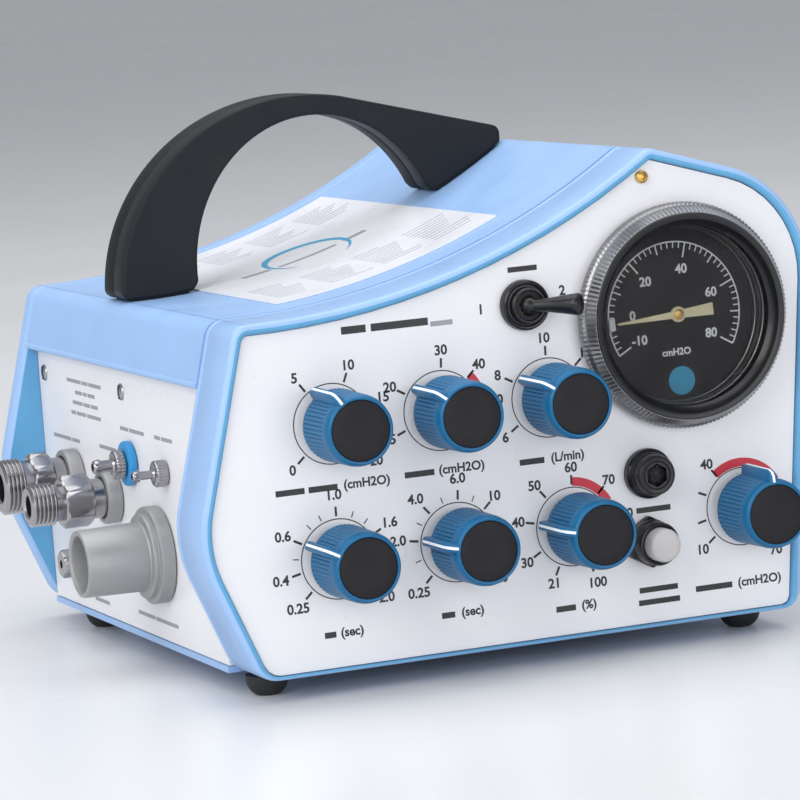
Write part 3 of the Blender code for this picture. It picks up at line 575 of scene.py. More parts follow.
def add_text(bm, body, size, x, z, y):
    """Add raised digits or a unit, centred at x, z."""
    curve = bpy.data.curves.new("text", "FONT")
    curve.body = body
    curve.size = size
    curve.offset = size * STROKE
    curve.extrude = PRINT / 2
    curve.resolution_u = 4
    source = bpy.data.objects.new("text", curve)
    mesh = bpy.data.meshes.new_from_object(source)
    across = [vertex.co.x for vertex in mesh.vertices]
    up = [vertex.co.y for vertex in mesh.vertices]
    middle = Vector(((min(across) + max(across)) / 2, (min(up) + max(up)) / 2, 0))
    stand_up = Matrix.Translation((x, y - PRINT / 2, z)) @ Matrix.Rotation(pi / 2, 4, "X")
    mesh.transform(stand_up @ Matrix.Translation(-middle))
    bm.from_mesh(mesh)
    bpy.data.objects.remove(source)
    bpy.data.meshes.remove(mesh)


def polar(centre, angle, radius):
    """Return the point at an angle clockwise from up."""
    turn = radians(angle)
    return Vector((centre[0] + sin(turn) * radius, centre[1] + cos(turn) * radius))


def add_tick(bm, centre, angle, inner, outer, width, y):
    """Add a radial bar."""
    start, end = polar(centre, angle, inner), polar(centre, angle, outer)
    across = Vector((cos(radians(angle)), -sin(radians(angle)))) * width / 2
    add_plate(bm, [start - across, start + across, end + across, end - across], y)


def add_arc(bm, centre, span, inner, outer, y, steps):
    """Add an arc band between two angles; a full turn closes on itself."""
    first, last = span
    angles = spread(first, last, steps)
    if last - first >= 360:
        loops = [[polar(centre, angle, radius) for angle in angles[:-1]]
                 for radius in (inner, outer)]
        add_loft(bm, [layer_xz(loops[0], y - PRINT), layer_xz(loops[1], y - PRINT),
                      layer_xz(loops[1], y), layer_xz(loops[0], y)], ring=True)
        return
    outline = [polar(centre, angle, outer) for angle in angles]
    outline += [polar(centre, angle, inner) for angle in reversed(angles)]
    add_plate(bm, outline, y)


def add_words(bm, x, z, width, height, lengths, y=0.0):
    """Add a blank word line: one plain bar for each word, with lengths as shares."""
    gap = height * 0.7
    total = width - gap * (len(lengths) - 1)
    left = x - width / 2
    for share in lengths:
        right = left + total * share / sum(lengths)
        add_plate(bm, [(left, z - height / 2), (left, z + height / 2),
                       (right, z + height / 2), (right, z - height / 2)], y)
        left = right + gap


def print_panel():
    """Scales, numbers and plain marks on the front panel."""
    black = bmesh.new()
    red = bmesh.new()
    grey = bmesh.new()
    for name, (x, z, _, unit, ticks) in KNOBS.items():
        centre = (x, z)
        add_arc(black, centre, (0, 360), RING_RADIUS - RING_WIDTH, RING_RADIUS, 0, 96)
        for angle, label in ticks:
            length = TICK_END if label else TICK_END - 1.0
            width = TICK_WIDTH if label else SHORT_TICK_WIDTH
            add_tick(black, centre, angle, TICK_START, length, width, 0)
            if label.strip("-"):
                reach = LABEL_RADIUS + (1.2 if len(label) > 2 else 0.0)
                spot = polar(centre, angle, reach)
                add_text(black, label, DIGIT_SIZE, spot.x, spot.y, 0)
        if name in RED_ARCS:
            add_arc(red, centre, RED_ARCS[name], RING_RADIUS + 0.2, RING_RADIUS + 3.0, 0, 24)
        left, split, height, right, shares = CAPTIONS[name]
        add_words(black, (left + split) / 2, height, split - left, CAPTION_HEIGHT, shares)
        add_text(black, unit, DIGIT_SIZE * 0.92, (split + 1.6 + right) / 2, height, 0)
    add_words(black, 48.0, 104.6, 29.0, 2.4, [3, 7])
    add_words(grey, 67.0, 103.6, 7.5, 1.6, [1])
    add_words(black, 95.5, 117.7, 10.0, 1.7, [4])
    add_text(black, "1", DIGIT_SIZE, 80.5, 106.4, 0)
    add_text(black, "2", DIGIT_SIZE, 108.6, 109.6, 0)
    add_words(black, 135.0, 36.7, 12.0, 1.8, [5])
    add_words(black, 135.0, 11.0, 13.5, 1.8, [5])
    add_words(black, 135.0, 7.0, 14.5, 1.8, [7])
    place_print("print_black", black, "cap_black", "ink_black")
    place_print("print_red", red, "signal_red", "ink_red")
    place_print("print_grey", grey, "cap_black", "ink_grey")


def turn_to_side(bm):
    """Turn a front-facing print so that it faces left and reads from front right to rear left."""
    bmesh.ops.rotate(bm, verts=bm.verts, cent=(0, 0, 0), matrix=Matrix.Rotation(-pi / 2, 3, "Z"))


def print_side():
    """Blank word lines on the side panel, beside each fitting."""
    ink = bmesh.new()
    lines = [(154.5, 80.2, 38.0, [7, 3, 6]), (154.0, 76.4, 22.0, [2, 1, 2]),
             (154.5, 72.8, 28.0, [3, 2, 2]), (154.5, 69.2, 33.0, [2, 4, 6]),
             (179.0, 59.4, 30.0, [7, 3]), (133.0, 60.0, 18.0, [1]),
             (105.0, 68.3, 25.0, [4, 7]), (73.0, 68.4, 18.0, [3, 5]),
             (93.0, 7.0, 41.0, [7, 9]), (153.0, 5.6, 16.0, [1])]
    for y, z, width, shares in lines:
        add_words(ink, -y, z, width, 1.3, shares)
    turn_to_side(ink)
    place_print("print_side", ink, "cap_black", "ink_grey", (SIDE_X, 0, 0))


# Case.

def rounded_section():
    """Return the front bezel's section as (offset, y): rounded rim, walls and a seam groove."""
    corner = 1.9
    section = [(RIM - corner + corner * cos(turn), 0.3 - corner * sin(turn))
               for turn in QUARTER_TURN]
    section += [(1.1, -1.6), (0.55, -1.45), (0.2, -1.0), (0.05, -0.4), (0.05, 2.3), (-2.0, 2.3),
                (-2.0, 4.5), (0.0, 6.0), (0.0, BEZEL_DEPTH), (2.7, BEZEL_DEPTH),
                (2.75, 23.2), (3.2, 22.95), (RIM, 22.5), (RIM, 21.6), (3.2, 21.2),
                (2.85, 20.95), (2.85, 20.5), (3.2, 20.3), (RIM, 20.0)]
    return section


def make_bezel():
    """Front bezel with its rounded rim, seam ridge and the web beside the recess."""
    layers = [layer_xz(case_outline(offset), y) for offset, y in rounded_section()]
    place("bezel_shell", loft("bezel_shell", layers, ring=True, sharp_degrees=50), "case_blue",
          replaces=["front_bezel"])
    web = clip(case_outline(0.5), SIDE_X + 2)
    web_span = (BEZEL_DEPTH - 2.4, BEZEL_DEPTH - 0.06)
    place("bezel_web", slab("bezel_web", web, web_span), "case_blue")
    inner = [layer_xz(case_outline(offset), y)
             for offset, y in ((0.0, -0.75), (0.35, -1.4), (0.9, -1.66), (1.7, -1.66),
                               (1.7, -1.3), (0.0, 0.2))]
    place("rim_inner_line", loft("rim_inner_line", inner, ring=True, sharp_degrees=60),
          "case_blue", material=TRIM["teal_and_painted_shade"])


def make_rear():
    """Rear shell: flange toward the recess, seam groove, rounded back and a stepped panel; a deeper
    blue sheet on the flange is painted shade.
    """
    section = [(2.7, REAR_FACE), (2.75, REAR_FACE + 0.8), (3.2, REAR_FACE + 1.1),
               (RIM, REAR_FACE + 1.6), (RIM, REAR_FACE + 2.6), (2.9, REAR_FACE + 3.0),
               (2.9, REAR_FACE + 3.4), (RIM, REAR_FACE + 3.8)]
    corner = 3.0
    section += [(RIM - corner + corner * cos(turn), CASE_DEPTH - corner + corner * sin(turn))
                for turn in QUARTER_TURN]
    section += [(-7.0, CASE_DEPTH), (-7.6, CASE_DEPTH - 0.7), (-9.0, CASE_DEPTH - 0.7)]
    layers = [layer_xz(case_outline(offset), y) for offset, y in section]
    place("rear_tray", loft("rear_tray", layers, sharp_degrees=50), "case_blue",
          replaces=["rear_shell"])
    # Painted shade: a deeper blue sheet on the flange's front face, where the recess lies in shade.
    shade_outline = clip(case_outline(2.5), SIDE_X - 0.4)
    place("recess_painted_shade", slab("recess_painted_shade", shade_outline, (REAR_FACE - 0.25, REAR_FACE - 0.02)),
          "case_blue", material=TRIM["teal_and_painted_shade"])
    profile = [(0, CASE_DEPTH - 1.2), (2.0, CASE_DEPTH - 1.2), (2.0, CASE_DEPTH - 0.5),
               (3.1, CASE_DEPTH - 0.3), (3.3, CASE_DEPTH - 0.8), (0, CASE_DEPTH - 2.0)]
    for number, (x, z) in enumerate(((14, 16), (168, 14), (14, 96), (170, 122)), 1):
        place("rear_screw_%d" % number, turned("rear_screw", profile, 40), "nickel",
              at=(x, 0, z))


def make_cover():
    """Wrap-over cover with its rolled hood lip."""
    outer = case_outline(RIM)
    inner = case_outline(RIM - COVER_WALL)
    start = next(i for i, point in enumerate(outer) if point.y > LIP_Z + 5)
    end = CORNERS["bottom_right"][1] + 1
    right_out = line_through(RIGHT_SHOULDER, BOTTOM_RIGHT, RIM)
    right_in = line_through(RIGHT_SHOULDER, BOTTOM_RIGHT, RIM - COVER_WALL)
    floor = (Vector((0, -BOTTOM_RIM)), Vector((1, 0)))
    bead = 1.15
    bead_x = left_edge(LIP_Z + bead, RIM) + bead * 0.75
    path = [Vector((SIDE_X - GAP, LIP_Z + 2.8)), Vector((SIDE_X - GAP, LIP_Z + 0.3)),
            Vector((bead_x + 0.5, LIP_Z + 0.3))]
    for step in range(9):
        turn = radians(-75 - 175 * step / 8)
        path.append(Vector((bead_x + bead * cos(turn), LIP_Z + bead + bead * sin(turn))))
    path.append(Vector((left_edge(LIP_Z + 2.9, RIM), LIP_Z + 2.9)))
    path += outer[start:-end] + [meet(right_out, floor), meet(right_in, floor)]
    path += list(reversed(inner[start:-end]))
    span = (BEZEL_DEPTH + GAP, REAR_FACE - GAP)
    place("hood_cover", slab("hood_cover", path, span, 28), "case_blue",
          replaces=["top_cover"])


def make_label():
    """Sheet on the concave top with blank text lines, three title bars and a ring mark."""
    low, high = LABEL_X
    sheet = slab("top_sheet", strip_outline(LABEL_X, 0.1, 0.5, 24), LABEL_Y)
    place("top_sheet", sheet, "label_white", replaces=["top_label"])

    def strip(bm, x_span, y_span):
        outline = strip_outline(x_span, 0.45, 0.53, 4)
        add_loft(bm, [layer_xz(outline, y) for y in y_span])

    pale = bmesh.new()
    pitch = 3.6
    thick = 0.9
    for block in range(4):
        left = low + 5 + block * 18.5
        for row in range(9):
            y = LABEL_Y[0] + 12 + row * pitch
            strip(pale, (left, left + 10 + (row * 7 + block * 5) % 6), (y, y + thick))
        for row in range(8):
            y = LABEL_Y[1] - 14 - row * pitch
            strip(pale, (left, left + 9 + (row * 5 + block * 3) % 7), (y - thick, y))
    place_print("sheet_lines", pale, "label_white", "ink_pale")
    dark = bmesh.new()
    middle = LABEL_Y[0] + 76
    for word, (start, length) in enumerate(((low + 16, 10), (low + 29, 21), (low + 53, 8))):
        strip(dark, (start, start + length), (middle - 2.0, middle + 2.0 - word % 2))
    place_print("sheet_title", dark, "label_white", "ink_grey")
    ring = bmesh.new()
    centre = Vector(((low + high) / 2 + 2, LABEL_Y[0] + 80))
    radius = 15.0
    steps = 40
    rows = []
    for step in range(steps + 1):
        turn = radians(-60 + 290 * step / steps)
        width = 2.6 * sin((turn + radians(60)) / radians(290) * pi) + 0.15
        row = []
        for reach in (radius - width, radius):
            x = centre.x + reach * 0.95 * cos(turn)
            y = centre.y + reach * 1.5 * sin(turn)
            row.append(ring.verts.new((x, y, top_surface(x, RIM + 0.56))))
        rows.append(row)
    for lower, upper in zip(rows, rows[1:]):
        ring.faces.new((lower[0], lower[1], upper[1], upper[0]))
    place_print("sheet_ring", ring, "label_white", "ink_blue")


def handle_outline():
    """Return the handle's arch, as part.py has it, with finer curves."""
    lift = RIM + 0.6
    back_centre = Vector((66.4, 110.2))
    back_radii = (66.6, 62.8)
    steps = 44
    finish = acos(16.0 / back_radii[0])
    outer = []
    for step in range(steps + 1):
        angle = pi - 0.03 + (finish - pi + 0.03) * step / steps
        outer.append(back_centre + Vector((back_radii[0] * cos(angle),
                                           back_radii[1] * sin(angle))))
    nose_x = 138.6
    nose_foot = Vector((nose_x, top_surface(nose_x, lift)))
    nose_corner = Vector((nose_x, 156.2))
    right = [Vector((x, top_surface(x, lift)))
             for x in [133.8 - 21.0 * step / 5 for step in range(6)]]
    nose = fillet(outer[-1], nose_corner, nose_foot, 3.2, 8)
    nose += fillet(nose_corner, nose_foot, right[0], 1.6, 7)
    arch_centre = Vector((70.8, 117.2))
    arch = []
    for step in range(steps + 1):
        angle = 0.46 + (pi - 0.40) * step / steps
        arch.append(arch_centre + Vector((44.0 * cos(angle), 48.6 * sin(angle))))
    left = [Vector((x, top_surface(x, lift))) for x in (24.8, 18.0, 12.0, 6.5, 2.0)]
    return round_corners(outer + nose + right + arch + left, 2.6, 4)


def make_handle():
    """Handle with soft edges and a parting groove, on thin dark pads whose colour also paints the
    shadow line under it.
    """
    outline = handle_outline()
    middle = (HANDLE_FRONT + HANDLE_BACK) / 2
    edge = 1.1
    flat = 0.4
    section = [(-edge - flat, HANDLE_FRONT)]
    section += [(-edge + edge * sin(turn), HANDLE_FRONT + edge - edge * cos(turn))
                for turn in QUARTER_TURN]
    section += [(0.0, middle - 0.9), (-0.12, middle - 0.7), (-0.5, middle - 0.3),
                (-0.5, middle + 0.3), (-0.12, middle + 0.7), (0.0, middle + 0.9)]
    section += [(-edge + edge * cos(turn), HANDLE_BACK - edge + edge * sin(turn))
                for turn in QUARTER_TURN]
    section.append((-edge - flat, HANDLE_BACK))
    layers = [layer_xz(offset_loop(outline, offset), y) for offset, y in section]
    place("carry_handle", loft("carry_handle", layers, sharp_degrees=40), "handle_black",
          replaces=["handle"])
    # The pads carry the handle; their dark colour also paints the shadow line between the handle
    # and the case top.
    span = (HANDLE_FRONT + 1.4, HANDLE_BACK - 1.4)
    for end, x_span in (("left", (3.6, 23.4)), ("right", (114.5, 136.0))):
        pad = slab("handle_pad_and_shade", strip_outline(x_span, 0.02, 1.2, 8), span)
        place("handle_pad_and_shade_" + end, pad, "rubber_black", material=TRIM["black_and_painted_shade"])


def make_feet():
    """Rubber feet with rounded sides and a flat bottom."""
    profile = [(0, -1.5), (6.8, -1.5)]
    for step in range(9):
        turn = radians(10 + 60 * step / 8)
        profile.append((6.8 * cos(turn) ** 0.7 + 0.05, -2.0 - 6.38 * sin(turn)))
    profile += [(0, -8.0)]
    for name, (x, y) in FEET.items():
        place("rubber_foot_" + name, turned("rubber_foot", profile, 40, "z", 50),
              "rubber_black", replaces=["foot_" + name], at=(x, y, 0))


# Front controls.

def knob_skirt():
    """Ribbed knob body with a smooth chamfered front and a recess for its cap."""
    samples = KNOB_RIBS * 6
    front = KNOB_FRONT
    back = KNOB_BACK
    levels = [(3.0, 0, 0.0), (3.0, 0, back - 3.0), (8.4, 0, back - 3.0), (8.4, 0, back),
              (KNOB_RADIUS + 0.1, 0, back), (KNOB_RADIUS + 0.3, 0.4, back - 0.3),
              (KNOB_RADIUS + 0.3, 1, back - 1.0), (KNOB_RADIUS + 0.1, 1, back - 8.0),
              (KNOB_RADIUS, 1, front + 5.2),
              (KNOB_RADIUS, 0.5, front + 4.4), (KNOB_RADIUS, 0, front + 3.6),
              (KNOB_RADIUS - 0.1, 0, front + 2.2), (KNOB_RADIUS - 0.45, 0, front + 0.8),
              (KNOB_RADIUS - 0.8, 0, front + 0.2), (KNOB_RADIUS - 1.1, 0, front),
              (CAP_RADIUS + 0.15, 0, front + 0.1), (CAP_RADIUS + 0.1, 0, front + 0.9),
              (CAP_RADIUS - 1.0, 0, front + 1.0)]

    def groove(step):
        turn = tau * step / samples
        return max(0.0, cos(KNOB_RIBS * turn)) ** 1.5

    layers = ribbed_layers(levels, samples, KNOB_RIB_HEIGHT, groove)
    return loft("knob_skirt", layers, sharp_degrees=38)


def knob_fin():
    """Pointer fin on the knob's side: wide at the knob, narrow at its crest."""
    front = KNOB_FRONT
    stations = [(KNOB_BACK - 0.4, FIN_RADIUS - 0.5, 1.5), (KNOB_BACK - 0.8, FIN_RADIUS, 1.45),
                (front + 3.0, FIN_RADIUS - 0.25, 1.3), (front + 1.2, FIN_RADIUS - 1.0, 1.25),
                (front + 0.4, FIN_RADIUS - 2.2, 1.2), (front + 0.15, KNOB_RADIUS - 0.8, 1.1)]
    layers = []
    for y, crest, half in stations:
        layers.append([(-half - 0.35, y, 9.5), (-half, y, crest - 0.5), (-half + 0.4, y, crest),
                       (half - 0.4, y, crest), (half, y, crest - 0.5), (half + 0.35, y, 9.5)])
    return loft("knob_fin", layers, sharp_degrees=45)


def knob_line():
    """White pointer line that runs along the fin's crest and down its front."""
    front = KNOB_FRONT
    stations = [(KNOB_BACK - 1.1, FIN_RADIUS + 0.04), (front + 3.0, FIN_RADIUS - 0.2),
                (front + 1.2, FIN_RADIUS - 0.94), (front + 0.36, FIN_RADIUS - 2.15),
                (front + 0.1, KNOB_RADIUS - 0.9)]
    half = 0.42
    layers = [[(-half, y, crest - 0.3), (-half, y, crest), (half, y, crest),
               (half, y, crest - 0.3)] for y, crest in stations]
    return loft("knob_line", layers)


def make_knobs():
    """Seven knobs: skirt, fin, pointer line and cap."""
    front = KNOB_FRONT
    cap = [(0, front + 0.12), (6.0, front + 0.14), (CAP_RADIUS - 0.5, front + 0.2),
           (CAP_RADIUS - 0.15, front + 0.35), (CAP_RADIUS, front + 0.7),
           (CAP_RADIUS, front + 0.95), (0, front + 0.95)]
    for name, (x, z, pointer, _, _) in KNOBS.items():
        at = (x, 0, z)
        body = "dial_" + name
        place("skirt_" + name, knob_skirt(), "knob_blue", body, ["knob_" + name], at, pointer)
        place("fin_" + name, knob_fin(), "knob_blue", body, (), at, pointer)
        place("line_" + name, knob_line(), "label_white", body, (), at, pointer,
              TRIM["ink_white"])
        place("disc_" + name, turned("knob_disc", cap, 72), "cap_black", body,
              ["knob_cap_" + name], at, pointer)


def knurled_ring():
    """Gauge bezel: a knurled rim, a plain groove and a knurled cone in front of it."""
    samples = GAUGE_KNURLS * 4
    wide = GAUGE_RADIUS
    levels = [(31.3, 0, -0.3), (wide - 1.2, 0, -0.3), (wide - 1.0, 0, -1.6), (wide - 0.3, 0, -2.2),
              (wide, 1, -2.8), (wide, 1, -4.6), (wide - 0.3, 0.6, -5.0), (wide - 1.2, 0, -5.6),
              (wide - 1.3, 0, -6.0), (wide - 1.2, 0.8, -6.5), (wide - 2.7, 0.8, -9.2),
              (wide - 3.1, 0, -9.6), (31.5, 0, -9.6), (31.3, 0, -9.0)]

    def groove(step):
        return abs((step % 4) / 2 - 1)

    layers = ribbed_layers(levels, samples, KNURL_HEIGHT, groove)
    return loft("knurled_ring", layers, ring=True, sharp_degrees=25)


def make_gauge():
    """Pressure gauge with its scale and needle."""
    at = (GAUGE[0], 0, GAUGE[1])
    place("gauge_ring", knurled_ring(), "bezel_metal", replaces=["gauge_bezel"], at=at)
    lip = [(28.7, -5.2), (28.7, -6.6), (29.3, -7.2), (30.3, -8.4), (30.8, -9.7), (31.6, -10.0),
           (32.6, -10.0), (32.9, -9.6), (31.2, -6.0), (31.2, -5.2)]
    place("gauge_lip", turned("gauge_lip", lip, 128), "gauge_black", at=at,
          material=MATERIALS["toggle_black"])
    well = [(30.5, -3.9), (28.9, -3.9), (28.6, -3.3), (28.5, -1.4), (28.0, -1.1), (27.9, 0.8),
            (27.5, 1.1), (27.4, DIAL_Y), (30.5, DIAL_Y)]
    place("gauge_well", turned("gauge_well", well, 128), "gauge_black", at=at,
          material=MATERIALS["toggle_black"])
    for number, (radius, y) in enumerate(((28.5, -3.3), (27.8, 1.0)), 1):
        bead = [(radius - 0.18, y), (radius, y - 0.2), (radius + 0.18, y), (radius, y + 0.2)]
        place("gauge_bead_%d" % number, turned("gauge_bead", bead, 128), "bezel_metal", at=at)
    window = [(0, -5.6), (20.0, -5.5), (28.6, -5.3), (28.6, -4.4), (20.0, -4.6), (0, -4.7)]
    place("gauge_glass", turned("gauge_glass", window, 96, sharp_degrees=60), "clear",
          replaces=["gauge_window"], at=at)
    dial = [(0, DIAL_Y), (30.4, DIAL_Y), (30.4, DIAL_Y + 0.8), (0, DIAL_Y + 0.8)]
    place("gauge_face", turned("gauge_face", dial, 96), "gauge_black",
          replaces=["gauge_dial"], at=at)
    print_dial()
    make_needle(at)


def print_dial():
    """White scale from -10 to 80 with numbers, its unit, a zero block and a round mark."""
    white = bmesh.new()
    for value in range(-10, 81, 2):
        angle = ZERO_ANGLE + value * DEGREES_PER_UNIT
        inner, width = SCALE_RADIUS - 2.0, 0.38
        if value % 10 == 0:
            inner, width = SCALE_RADIUS - 3.2, 0.45
        if value % 20 == 0 or value == -10:
            inner, width = SCALE_RADIUS - 4.8, 0.5
        if value != 0:
            add_tick(white, GAUGE, angle, inner, SCALE_RADIUS, width, DIAL_Y)
        if value in (-10, 0, 20, 40, 60, 80):
            spot = polar(GAUGE, angle, 14.6)
            add_text(white, str(value), 4.1, spot.x, spot.y + (1.6 if value == 0 else 0), DIAL_Y)
    first = ZERO_ANGLE - 10 * DEGREES_PER_UNIT
    last = ZERO_ANGLE + 80 * DEGREES_PER_UNIT
    add_arc(white, GAUGE, (first, last), SCALE_RADIUS - 0.2, SCALE_RADIUS + 0.25, DIAL_Y, 120)
    add_arc(white, GAUGE, (ZERO_ANGLE - 5.2, ZERO_ANGLE + 4.6), SCALE_RADIUS - 2.2,
            SCALE_RADIUS + 0.2, DIAL_Y, 6)
    x, z = GAUGE
    add_text(white, "cmH2O", 3.1, x, z - 12.2, DIAL_Y)
    place_print("dial_print", white, "label_white", "ink_white")
    mark = bmesh.new()
    centre = (x + 1.2, z - 21.6)
    add_plate(mark, [polar(centre, angle, 4.6) for angle in range(0, 360, 8)], DIAL_Y)
    place_print("dial_mark", mark, "ring_blue", "ink_blue")


def make_needle(at):
    """Cream needle with a broad tail and a brass hub; its blade's middle is at y = 0."""
    blade = [(-1.95, -12.3), (-1.35, -2.0), (-1.1, 2.0), (-0.3, 21.0), (0.0, 21.4),
             (0.3, 21.0), (1.1, 2.0), (1.35, -2.0), (1.95, -12.3)]
    place("needle_blade", slab("needle_blade", blade, (-0.25, 0.25)), "needle_cream",
          "pointer", ["gauge_needle"], at, NEEDLE_ANGLE)
    boss = [(0, -0.5), (2.3, -0.5), (2.5, -0.3), (2.5, 0.6), (0, 0.6)]
    place("needle_boss", turned("needle_boss", boss, 48), "needle_cream", "pointer", (), at)
    hub = [(0, -1.0), (1.2, -0.95), (1.7, -0.7), (1.75, 0), (1.1, 0.9), (1.1, 2.4), (0, 2.4)]
    place("needle_hub", turned("needle_hub", hub, 40), "brass", "pointer", (), at)


def make_toggle():
    """Mode toggle: dished round nut, ball and flared lever."""
    at = (TOGGLE[0], 0, TOGGLE[1])
    profile = [(4.2, -0.3), (8.0, -0.3), (8.0, -2.4), (7.8, -3.1), (7.3, -3.5), (6.8, -3.4),
               (6.4, -2.9), (5.9, -3.0), (5.7, -4.9), (5.3, -5.4), (4.9, -5.4), (4.6, -5.0),
               (4.2, -3.6)]
    place("toggle_nut", turned("toggle_nut", profile, 72), "toggle_black",
          replaces=["mode_nut"], at=at)
    washer = [(3.3, -4.7), (3.3, -4.9), (5.25, -4.9), (5.25, -4.7)]
    place("toggle_washer", turned("toggle_washer", washer, 48), "toggle_black", at=at,
          material=TRIM["black_and_painted_shade"])
    lever = []
    for step in range(8):
        turn = radians(25 + 110 * step / 7)
        lever.append((2.9 * sin(turn), 2.9 * cos(turn)))
    lever = [(0, 2.9)] + lever + [(2.05, -2.9), (2.2, -6.5), (2.8, -11.0), (3.45, -15.6),
                                  (3.5, -16.5), (3.2, -17.2), (2.5, -17.6), (0, -17.8)]
    piece = place("toggle_lever", turned("toggle_lever", lever, 40, sharp_degrees=50),
                  "toggle_black", "toggle", ["mode_lever"],
                  (TOGGLE[0], TOGGLE_PIVOT_Y, TOGGLE[1]))
    turn_lever = Matrix.Rotation(radians(45), 4, "Z")
    piece.data.transform(turn_lever)


def make_lamp():
    """Alarm indicator: stepped black bezel with a hexagon socket ring and a clear lens."""
    at = (LAMP[0], 0, LAMP[1])
    body = [(0, 1.4), (4.3, 1.4), (4.3, -7.6), (4.6, -8.3), (5.6, -8.4), (6.2, -8.1),
            (6.5, -7.4), (6.5, -5.2), (6.9, -4.6), (7.0, -3.4), (7.6, -3.1), (8.0, -2.5),
            (8.0, -0.3), (4.8, -0.3), (4.8, 14.0), (0, 14.0)]
    place("lamp_body", turned("lamp_body", body, 72), "toggle_black",
          replaces=["alarm_body"], at=at)
    socket = [(3.8, -6.9, 3.3), (3.8, -8.1, 3.3), (4.28, -8.1), (4.28, -6.9)]
    place("lamp_socket", loft("lamp_socket", fitting_layers(socket, 48, layer_xz), ring=True),
          "toggle_black", at=at)
    lens = [(0, -8.9), (1.2, -8.8), (2.3, -8.3), (3.0, -7.5), (3.2, -7.0), (0, -7.0)]
    place("lamp_lens", turned("lamp_lens", lens, 48, sharp_degrees=60), "clear",
          replaces=["alarm_lens"], at=at)
    radius = 3.3
    ball = [(radius * sin(pi * step / 16), -radius * cos(pi * step / 16))
            for step in range(1, 16)]
    ball = [(0, -radius)] + ball + [(0, radius)]
    place("lamp_ball", turned("lamp_ball", ball, 48, sharp_degrees=80), "signal_red",
          "indicator", ["alarm_ball"], (LAMP[0], -3.0, LAMP[1]),
          material=MATERIALS["gauge_black"])


def make_button():
    """Reset button: chamfered hexagonal nut, round sleeve and satin plunger."""
    at = (BUTTON[0], 0, BUTTON[1])
    flat, corner = 7.27, 8.3
    levels = [(4.6, 2.0), (4.6, -0.3), (corner, -0.3, flat), (corner, -2.9, flat),
              (flat + 0.15, -3.6, flat), (7.05, -3.7), (6.95, -8.6), (6.7, -9.2), (6.2, -9.4),
              (5.7, -9.2), (5.7, -1.0)]
    place("button_nut", loft("button_nut", fitting_layers(levels, 72, layer_xz)),
          "toggle_black", replaces=["button_body"], at=at)
    cap = [(0, -13.95), (3.5, -13.9), (4.6, -13.7), (5.1, -13.3), (5.35, -12.6), (5.35, -6.5),
           (2.2, -6.5), (2.2, -4.4), (0, -4.4)]
    place("button_cap", turned("button_cap", cap, 64, sharp_degrees=50), "button_grey",
          "push_button", ["button_plunger"], at)


def make_panel_screw():
    """Brass screw with a dished centre."""
    at = (PANEL_SCREW[0], 0, PANEL_SCREW[1])
    head = [(0, -1.1), (0.5, -1.1), (0.8, -1.75), (1.4, -1.6), (1.9, -1.2), (2.1, -0.3),
            (1.2, -0.3), (1.2, 1.8), (0, 1.8)]
    place("brass_screw", turned("brass_screw", head, 40), "brass", replaces=["panel_screw"],
          at=at)


# Left connections: distances run outward from the side panel.

def side(y_z):
    """Return a fitting's place on the side panel."""
    return (SIDE_X, y_z[0], y_z[1])


def make_patient_port():
    """Conical patient tube with its stepped flange."""
    profile = [(9.0, -13.5), (9.0, 27.0), (9.2, 27.8), (9.7, 28.25), (10.4, 28.3),
               (10.8, 28.1), (11.0, 27.5), (11.4, 7.6), (11.7, 7.2), (13.4, 7.1),
               (13.8, 6.9), (14.0, 6.5), (14.0, 5.4), (14.2, 5.2), (15.4, 5.15),
               (15.8, 4.95), (16.0, 4.5), (16.0, 0.6), (15.7, 0.3), (11.5, 0.3),
               (11.5, -13.5)]
    place("patient_cone", turned("patient_cone", profile, 96, "x"), "satin_metal",
          replaces=["patient_port"], at=side(PATIENT_PORT))


def thread_levels(radius, depth, start, end, pitch):
    """Return thread rings from the nose inward, as (radius, distance)."""
    turns = int((start - end) / pitch)
    levels = []
    for turn in range(turns):
        crest = start - turn * pitch
        levels += [(radius - depth, crest), (radius - 0.12, crest - pitch * 0.3),
                   (radius, crest - pitch * 0.4), (radius, crest - pitch * 0.55),
                   (radius - 0.12, crest - pitch * 0.65), (radius - depth, crest - pitch * 0.95)]
    return levels


def gas_inlet(name, node, centre, radius, reach, hex_span, hex_flat, neck, bore):
    """Threaded gas inlet: bored nose, thread, relief, chamfered hexagon and barrel."""
    front, back = hex_span
    corner = hex_flat / cos(pi / 6) - 0.15
    levels = [(bore, reach - 10.0), (bore, reach - 0.6), (bore + 0.6, reach),
              (radius - 1.1, reach)]
    levels += thread_levels(radius, 0.75, reach - 0.3, front + 1.6, 1.42)
    levels += [(radius - 1.0, front + 1.4), (radius - 1.0, front),
               (hex_flat - 0.2, front, hex_flat), (hex_flat + 0.35, front - 0.4, hex_flat),
               (corner, front - 1.0, hex_flat), (corner, back + 1.0, hex_flat),
               (hex_flat + 0.35, back + 0.4, hex_flat), (hex_flat - 0.2, back, hex_flat),
               (neck, back), (neck, 5.0), (neck, -13.0)]
    place(name, loft(name, fitting_layers(levels, 72, layer_yz)), "nickel", replaces=[node],
          at=side(centre))


def make_collars():
    """Satin collars with a chamfer against the side panel, and the blue ring."""
    for name, node, centre, bore, radius, depth, slot in (
            ("collar_oxygen", "oxygen_collar", OXYGEN_INLET, 7.0, 9.0, 5.3, "satin_metal"),
            ("collar_air", "air_collar", AIR_INLET, 8.5, 10.6, 5.5, "satin_metal"),
            ("ring_proximal", "proximal_ring", PROXIMAL_PORT, 3.0, 7.5, 2.8, "ring_blue")):
        profile = [(bore, 0.3), (bore, depth - 0.3), (bore + 0.3, depth), (radius - 0.8, depth),
                   (radius - 0.25, depth - 0.25), (radius, depth - 0.8), (radius, 0.7),
                   (radius - 0.3, 0.3)]
        place(name, turned(name, profile, 72, "x"), slot, replaces=[node], at=side(centre))


